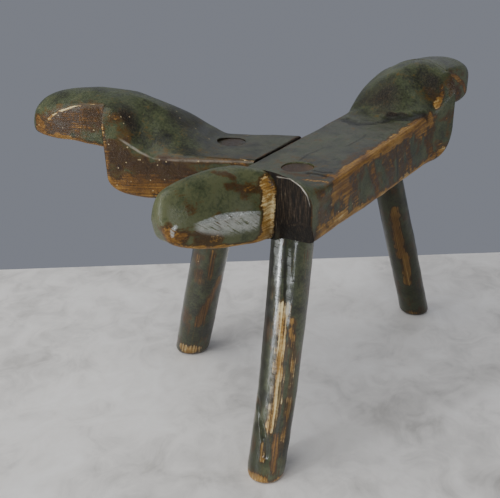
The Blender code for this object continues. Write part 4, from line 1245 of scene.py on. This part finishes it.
def wear_through(paint):
    """Mixes the layers: each comes in with a smooth step over its own range of the wear."""
    add = paint.add
    worn = add("Math", LESS, paint.bare, sum(paint.ragged) / 2)
    for noise, share in zip((paint.blotch, paint.fine, paint.streak), paint.ragged):
        worn = add("Math", TIMES_PLUS, noise, share, worn)
    thin = add("MapRange", SMOOTH, Value=worn, From_Min=THIN_FROM, From_Max=THIN_TO)
    rim = add("MapRange", SMOOTH, Value=worn, From_Min=RIM_FROM, From_Max=RIM_TO)
    paint.wood_bare = add("MapRange", SMOOTH, Value=worn, From_Min=WOOD_FROM, From_Max=WOOD_TO)

    mottle = add("Math", TIMES_PLUS, paint.cloud, 0.5, add("Math", TIMES, paint.tint, 0.6))
    mottle = add("Math", TIMES_PLUS, paint.blotch, 1.0, mottle)
    mottle = add("Math", TIMES_PLUS, paint.fine, 1.3, mottle)
    whole = add("ValToRGB", dict(stops=WHOLE_PAINT), Fac=add("Math", LESS, mottle, 1.18))
    # Greyer on the flat tops: wear by sitters and a painted sheen.
    patchy = add("MapRange", SMOOTH, Value=paint.blotch, From_Min=0.3, From_Max=0.6)
    greyed_and_sheen = add("Math", TIMES, add("Math", TIMES, paint.sat, patchy), SAT_GREY_AND_SHEEN_SHARE)
    whole = add("Mix", MIX, Factor=greyed_and_sheen, A=whole, B=linear(SAT_GREY_AND_SHEEN))
    patch = add("Math", TIMES_PLUS, paint.streak, 0.9, add("Math", LESS, paint.blotch, 0.45))
    thin_paint = add("ValToRGB", dict(stops=THIN_PAINT), Fac=patch)
    figure = add("Math", TIMES_PLUS, paint.streak, 1.0, paint.tone)
    figure = add("Math", TIMES_PLUS, paint.fine, 0.4, figure)
    wood = add("ValToRGB", dict(stops=BARE_WOOD), Fac=add("Math", LESS, figure, 0.72))
    colour = add("Mix", MIX, Factor=thin, A=whole, B=thin_paint)
    colour = add("Mix", MIX, Factor=add("Math", TIMES, rim, RIM_SHARE), A=colour, B=linear(RIM))
    paint.colour = add("Mix", MIX, Factor=paint.wood_bare, A=colour, B=wood)


for paint in paints.values():
    wear_through(paint)
print("nodes in each paint so far:", len(paints["timber"].finish.node_tree.nodes))


# %% [markdown]
# Where end grain shows, on the shoulders' walls, the colour goes nearly black, with streaks up and
# down from the saw. Dirt and painted shade then lie over everything where their field says so. The
# thin pale lines on the arrises, worn wood with a painted highlight, are broken by a noise. The chips
# are the middles of a pattern of cells 7.5 mm apart, and a random number for each cell decides whether
# it has one.

# %% End grain, dirt and painted shade, pale lines with painted highlights, and chips
END_GRAIN = ((0.0, "#070605"), (0.4, "#19130d"), (0.65, "#3f3223"), (1.0, "#8e8472"))
DIRT_AND_SHADE, PALE_LINE_AND_HIGHLIGHT, CHIP = "#0d0b07", "#c4bdad", "#b9a67c"
DIRT_AND_SHADE_SHARE, CHIP_SHARE = 0.85, 0.8
CHIP_SPACING_MM = 7.5
CHIP_EDGE, CHIP_MIDDLE = 0.13, 0.07


def soil(paint):
    """Mixes each layer over the last by its field, times a noise that makes it patchy."""
    add = paint.add
    dark = add("Math", TIMES_PLUS, paint.fine, 0.4, -0.62)
    dark = add("Math", TIMES_PLUS, paint.sawn, 1.7, dark)
    end_grain = add("ValToRGB", dict(stops=END_GRAIN), Fac=dark)
    colour = add("Mix", MIX, Factor=paint.end, A=paint.colour, B=end_grain)

    # Dirt and painted shade, where the lists and the hollows put them, darken the colour.
    patchy = add("MapRange", SMOOTH, Value=paint.fine, From_Min=0.25, From_Max=0.6, To_Min=0.65, To_Max=1.0)
    paint.dirt = add("Math", TIMES, patchy, paint.grime)
    dirty = add("Math", TIMES, paint.dirt, DIRT_AND_SHADE_SHARE)
    colour = add("Mix", MIX, Factor=dirty, A=colour, B=linear(DIRT_AND_SHADE))

    broken = add("MapRange", SMOOTH, Value=paint.blotch, From_Min=0.3, From_Max=0.5)
    # Pale worn lines on the arrises, with a painted highlight.
    pale_line_and_highlight = add("Math", TIMES, paint.line, broken)
    colour = add("Mix", MIX, Factor=pale_line_and_highlight, A=colour, B=linear(PALE_LINE_AND_HIGHLIGHT))

    from_middle = add("TexVoronoi", Vector=paint.place, Scale=1000 / CHIP_SPACING_MM)
    chip = add("MapRange", SMOOTH, Value=from_middle, From_Min=CHIP_EDGE, From_Max=CHIP_MIDDLE)
    chance = add("SeparateColor", Color=from_middle.node.outputs["Color"])
    chosen = add("Math", dict(operation="GREATER_THAN"), add("Math", None, chance, paint.speck), 1.0)
    chip = add("Math", TIMES, add("Math", TIMES, chip, chosen), CHIP_SHARE)
    paint.colour = add("Mix", MIX, Factor=chip, A=colour, B=linear(CHIP))


for paint in paints.values():
    soil(paint)
print("nodes in each paint so far:", len(paints["timber"].finish.node_tree.nodes))


# %% [markdown]
# Two things make the silvery places: polish that hands gave, and a painted reflection of a window that
# shines on it. A pale colour with some metal in it stands for both, so that the place keeps its
# painted shine from other sides. Slanting scratches a millimetre apart, coarser than the real ones so
# that they show, break it up.

# %% Polish and painted reflection
SILVERY_POLISH_AND_REFLECTION = "#b4b7b0"
SILVERY_POLISH_AND_REFLECTION_SHARE, METAL_SHARE = 0.8, 0.6


def paint_polish_and_reflection(paint):
    """The polish and painted reflection field, less a quarter and plus half the fine noise, read in a smooth
    step and broken up.
    """
    add = paint.add
    polished = add("Math", TIMES_PLUS, paint.fine, 0.5, add("Math", LESS, paint.silver, 0.25))
    paint.polished = add("MapRange", SMOOTH, Value=polished, From_Min=0.15, From_Max=0.95)
    patchy = add("MapRange", SMOOTH, Value=paint.blotch, From_Min=0.2, From_Max=0.55)
    scratched = add("MapRange", SMOOTH, Value=paint.scratch, From_Min=0.34, From_Max=0.48)
    shining = add("Math", TIMES, add("Math", TIMES, paint.polished, patchy), scratched)
    paint.metal = add("Math", TIMES, shining, METAL_SHARE)
    silvery = add("Math", TIMES, shining, SILVERY_POLISH_AND_REFLECTION_SHARE)
    # Silvery colour for polish and the painted reflection.
    paint.colour = add("Mix", MIX, Factor=silvery, A=paint.colour, B=linear(SILVERY_POLISH_AND_REFLECTION))


for paint in paints.values():
    paint_polish_and_reflection(paint)
print("nodes in each paint so far:", len(paints["timber"].finish.node_tree.nodes))


# %% [markdown]
# The eye knows old varnish by its gloss: soft on paint, duller on wood and end grain, smoother where it
# is polished, and gone under dirt and painted shade. A clear coat over the paint gives that. A shallow
# relief of brush marks, flaked paint and saw marks goes with it, and is kept lower on the legs, which
# were smoother.

# %% Gloss and relief
RELIEF_DEPTH = 0.0009
SHINE = 0.25


def varnish(paint):
    """Roughness and height are sums of the masks and noises; the coat is taken off by end grain, dirt and
    painted shade.
    """
    add = paint.add
    dull = add("Math", TIMES_PLUS, paint.wood_bare, 0.12, paint.gloss)
    dull = add("Math", TIMES_PLUS, paint.blotch, 0.35, dull)
    dull = add("Math", TIMES_PLUS, paint.end, 0.25, dull)
    dull = add("Math", TIMES_PLUS, paint.polished, -0.18, dull)
    unglazed = add("Math", dict(operation="MAXIMUM"), paint.end, paint.dirt)
    coat = add("Math", TIMES_PLUS, unglazed, -paint.coat, paint.coat)

    height = add("Math", TIMES_PLUS, paint.wood_bare, -0.25, add("Math", TIMES, paint.fine, 0.45))
    height = add("Math", TIMES_PLUS, add("Math", TIMES, paint.streak, paint.wood_bare), 0.6, height)
    height = add("Math", TIMES_PLUS, paint.blotch, 1.0, height)
    height = add("Math", TIMES_PLUS, add("Math", TIMES, paint.sawn, paint.end), 2.0, height)
    height = add("Math", TIMES_PLUS, add("Math", TIMES, paint.scratch, paint.silver), 0.8, height)
    bump = add("Bump", Height=height, Strength=paint.relief, Distance=RELIEF_DEPTH)

    tree = paint.finish.node_tree
    surface = tree.nodes["Principled BSDF"].inputs
    for label, result in (
        ("Base Color", paint.colour), ("Metallic", paint.metal), ("Roughness", dull),
        ("Coat Weight", coat), ("Normal", bump), ("Coat Normal", bump),
    ):
        tree.links.new(result, surface[label])
    surface["Coat Roughness"].default_value = paint.coat_roughness
    surface["Specular IOR Level"].default_value = SHINE


for paint in paints.values():
    varnish(paint)
beam.data.materials.append(paints["timber"].finish)
arm.data.materials.append(paints["arm"].finish)
for leg in legs.values():
    leg.data.materials.append(paints["leg"].finish)
print("nodes in each finished paint:", len(paints["timber"].finish.node_tree.nodes))

# %% [markdown]
# The two dowels that pin the butt joint are hidden in it. They are taken to be plain riven oak, never
# painted, so their measured forms only get a bare, dull wood with its rings drawn out along the dowel.

# %% Bare wood of the dowels
OAK = ((0.3, "#8a6a3f"), (0.7, "#c2a06a"))
RING_MM = (1.5, 30, 1.5)

dowel_wood = bpy.data.materials.new("bare dowel wood")
dowel_wood.use_nodes = True
dowel_tree = dowel_wood.node_tree
add_oak = partial(add_node, dowel_tree)
dowel_place = add_oak("TexCoord").node.outputs["Object"]
along_dowel = add_oak("Mapping", Vector=dowel_place, Scale=tuple(1000 / size for size in RING_MM))
rings = add_oak("TexNoise", Vector=along_dowel, Scale=1.0, Detail=3.0, Roughness=0.6)
oak = add_oak("ValToRGB", dict(stops=OAK), Fac=rings)
dowel_surface = dowel_tree.nodes["Principled BSDF"]
dowel_tree.links.new(oak, dowel_surface.inputs["Base Color"])
dowel_surface.inputs["Roughness"].default_value = 0.7
for dowel_name in ("arm_dowel_front", "arm_dowel_back"):
    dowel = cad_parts[dowel_name]
    dowel.data.materials.clear()
    dowel.data.materials.append(dowel_wood)
    print(dowel_name, "is", dowel_wood.name)

# %% [markdown]
# The camera stands where the photograph's did. Its place, its pitch and roll and its lens were worked
# out from the photograph's own straight edges and level floor. The wall behind the stool is a plain
# blue grey, and a dim world of that colour stands for it.

# %% Wall and camera
EYE_ON_DRAWING = (-0.5174, -0.2892, 0.200)
SENSOR_WIDTH, LENS = 36.0, 50.4
WALL, WALL_STRENGTH = "#c5cad8", 0.36
look, pitch, roll = math.radians(32.2), math.radians(24.5), math.radians(-2.0)

world = bpy.data.worlds.new("studio")
bpy.context.scene.world = world
world.use_nodes = True
wall = world.node_tree.nodes["Background"].inputs
wall["Color"].default_value = linear(WALL)
wall["Strength"].default_value = WALL_STRENGTH

camera_data = bpy.data.cameras.new("camera")
camera_data.sensor_width = SENSOR_WIDTH
camera_data.lens = LENS
camera = bpy.data.objects.new("camera", camera_data)
bpy.context.scene.collection.objects.link(camera)
bpy.context.scene.camera = camera
forward = Vector((math.cos(look) * math.cos(pitch), math.sin(look) * math.cos(pitch), -math.sin(pitch)))
level_right = Vector((math.sin(look), -math.cos(look), 0))
level_up = level_right.cross(forward)
right = level_right * math.cos(roll) + level_up * math.sin(roll)
up = -level_right * math.sin(roll) + level_up * math.cos(roll)
eye = Vector(EYE_ON_DRAWING) + Vector(DRAWING_ZERO)
camera.matrix_world = Matrix((
    (right.x, up.x, -forward.x, eye.x),
    (right.y, up.y, -forward.y, eye.y),
    (right.z, up.z, -forward.z, eye.z),
    (0, 0, 0, 1),
))
print("camera at", [round(number, 3) for number in eye])

# %% [markdown]
# A broad soft light from the upper left made the photograph's quiet shadows. Narrow windows to the
# left and right drew pale strips down the round legs, and dim lights behind put a sheen on the tops.
# Area lights stand for all of them, because their size and shape show in a glossy varnish.

# %% Lights
AIM_HEIGHT = 0.2


def soft_light(name, azimuth, elevation, distance, width, height, power, colour):
    """Area light on a sphere round the seat; azimuth is counted rightwards from the camera's side."""
    data = bpy.data.lights.new(name, "AREA")
    data.shape = "RECTANGLE"
    data.size = width
    data.size_y = height
    data.energy = power
    data.color = linear(colour)[:3]
    made = bpy.data.objects.new(name, data)
    bpy.context.scene.collection.objects.link(made)
    back = look + math.pi + math.radians(azimuth)
    lift = math.radians(elevation)
    aim = Vector((0, 0, AIM_HEIGHT))
    towards = Vector((math.cos(back) * math.cos(lift), math.sin(back) * math.cos(lift), math.sin(lift)))
    made.location = aim + distance * towards
    made.rotation_euler = (-towards).to_track_quat("-Z", "Y").to_euler()
    print(name, "gives", power, "watts")


soft_light("big_soft_top", -60, 58, 2.2, 2.2, 2.2, 44, "#ffffff")
soft_light("left_window", -58, 8, 2.2, 0.3, 1.3, 25, "#f2f6ff")
soft_light("back_sheen", 180, 27, 2.4, 2.2, 0.9, 2.0, "#eef2ff")
soft_light("back_fill", 140, 42, 2.4, 1.6, 1.6, 6, "#f4f6ff")
soft_light("right_window", 13, 12, 2.2, 0.18, 0.7, 9, "#f2f6ff")
soft_light("far_right_window", 84, 6, 2.2, 0.3, 0.5, 4, "#f2f6ff")

# %% [markdown]
# The floor of the photograph is pale polished marble with soft grey clouds. Two noises, one of them
# bent into veins, give those. The floor is one flat face that stops at the line where the wall begins,
# a little over a metre ahead of the camera, and reaches well past the picture on the other sides.

# %% Floor
MARBLE = ((0.52, "#a9a59e"), (0.68, "#cbc7c0"), (0.82, "#dedad3"), (1.0, "#e8e5df"))
DRIFT_MM, VEIN_MM = 160, 45
FLOOR_AHEAD = 1.03
FLOOR_REACH = 5.0

marble = bpy.data.materials.new("pale marble")
marble.use_nodes = True
add_marble = partial(add_node, marble.node_tree)
marble_place = add_marble("TexCoord").node.outputs["Object"]
drift = add_marble("TexNoise", Vector=marble_place, Scale=1000 / DRIFT_MM, Detail=5.0, Roughness=0.6)
veins = add_marble(
    "TexNoise", Vector=marble_place, Scale=1000 / VEIN_MM, Detail=4.0, Roughness=0.6, Distortion=1.2,
)
stone = add_marble("ValToRGB", dict(stops=MARBLE), Fac=add_marble("Math", TIMES_PLUS, veins, 0.6, drift))
marble_surface = marble.node_tree.nodes["Principled BSDF"]
marble.node_tree.links.new(stone, marble_surface.inputs["Base Color"])
marble_surface.inputs["Roughness"].default_value = 0.5

ahead = Vector((math.cos(look), math.sin(look), 0))
under_eye = Vector((eye.x, eye.y, 0))
near_line, far_line = under_eye - ahead * FLOOR_REACH, under_eye + ahead * FLOOR_AHEAD
aside = level_right * FLOOR_REACH
floor_mesh = bpy.data.meshes.new("floor")
floor_mesh.from_pydata(
    [near_line - aside, near_line + aside, far_line + aside, far_line - aside], [], [(0, 1, 2, 3)],
)
floor_mesh.materials.append(marble)
floor = bpy.data.objects.new("floor", floor_mesh)
bpy.context.scene.collection.objects.link(floor)
print("floor ends", FLOOR_AHEAD, "m ahead of the camera")

# %% [markdown]
# Nothing on the stool moves, so every dressed piece rides on the one body, "root", and its measured
# node is hidden. The three legs wear one paint.

# %% Attach each piece to root and hide its measured node
for piece, node, slot in (
    (beam, "seat_beam", "timber_paint"),
    (arm, "seat_arm", "arm_paint"),
    (legs["near"], "leg_near", "leg_paint"),
    (legs["left"], "leg_left", "leg_paint"),
    (legs["far"], "leg_far", "leg_paint"),
):
    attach(piece, "root")
    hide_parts(node)
    print(piece.name, "stands for", node)
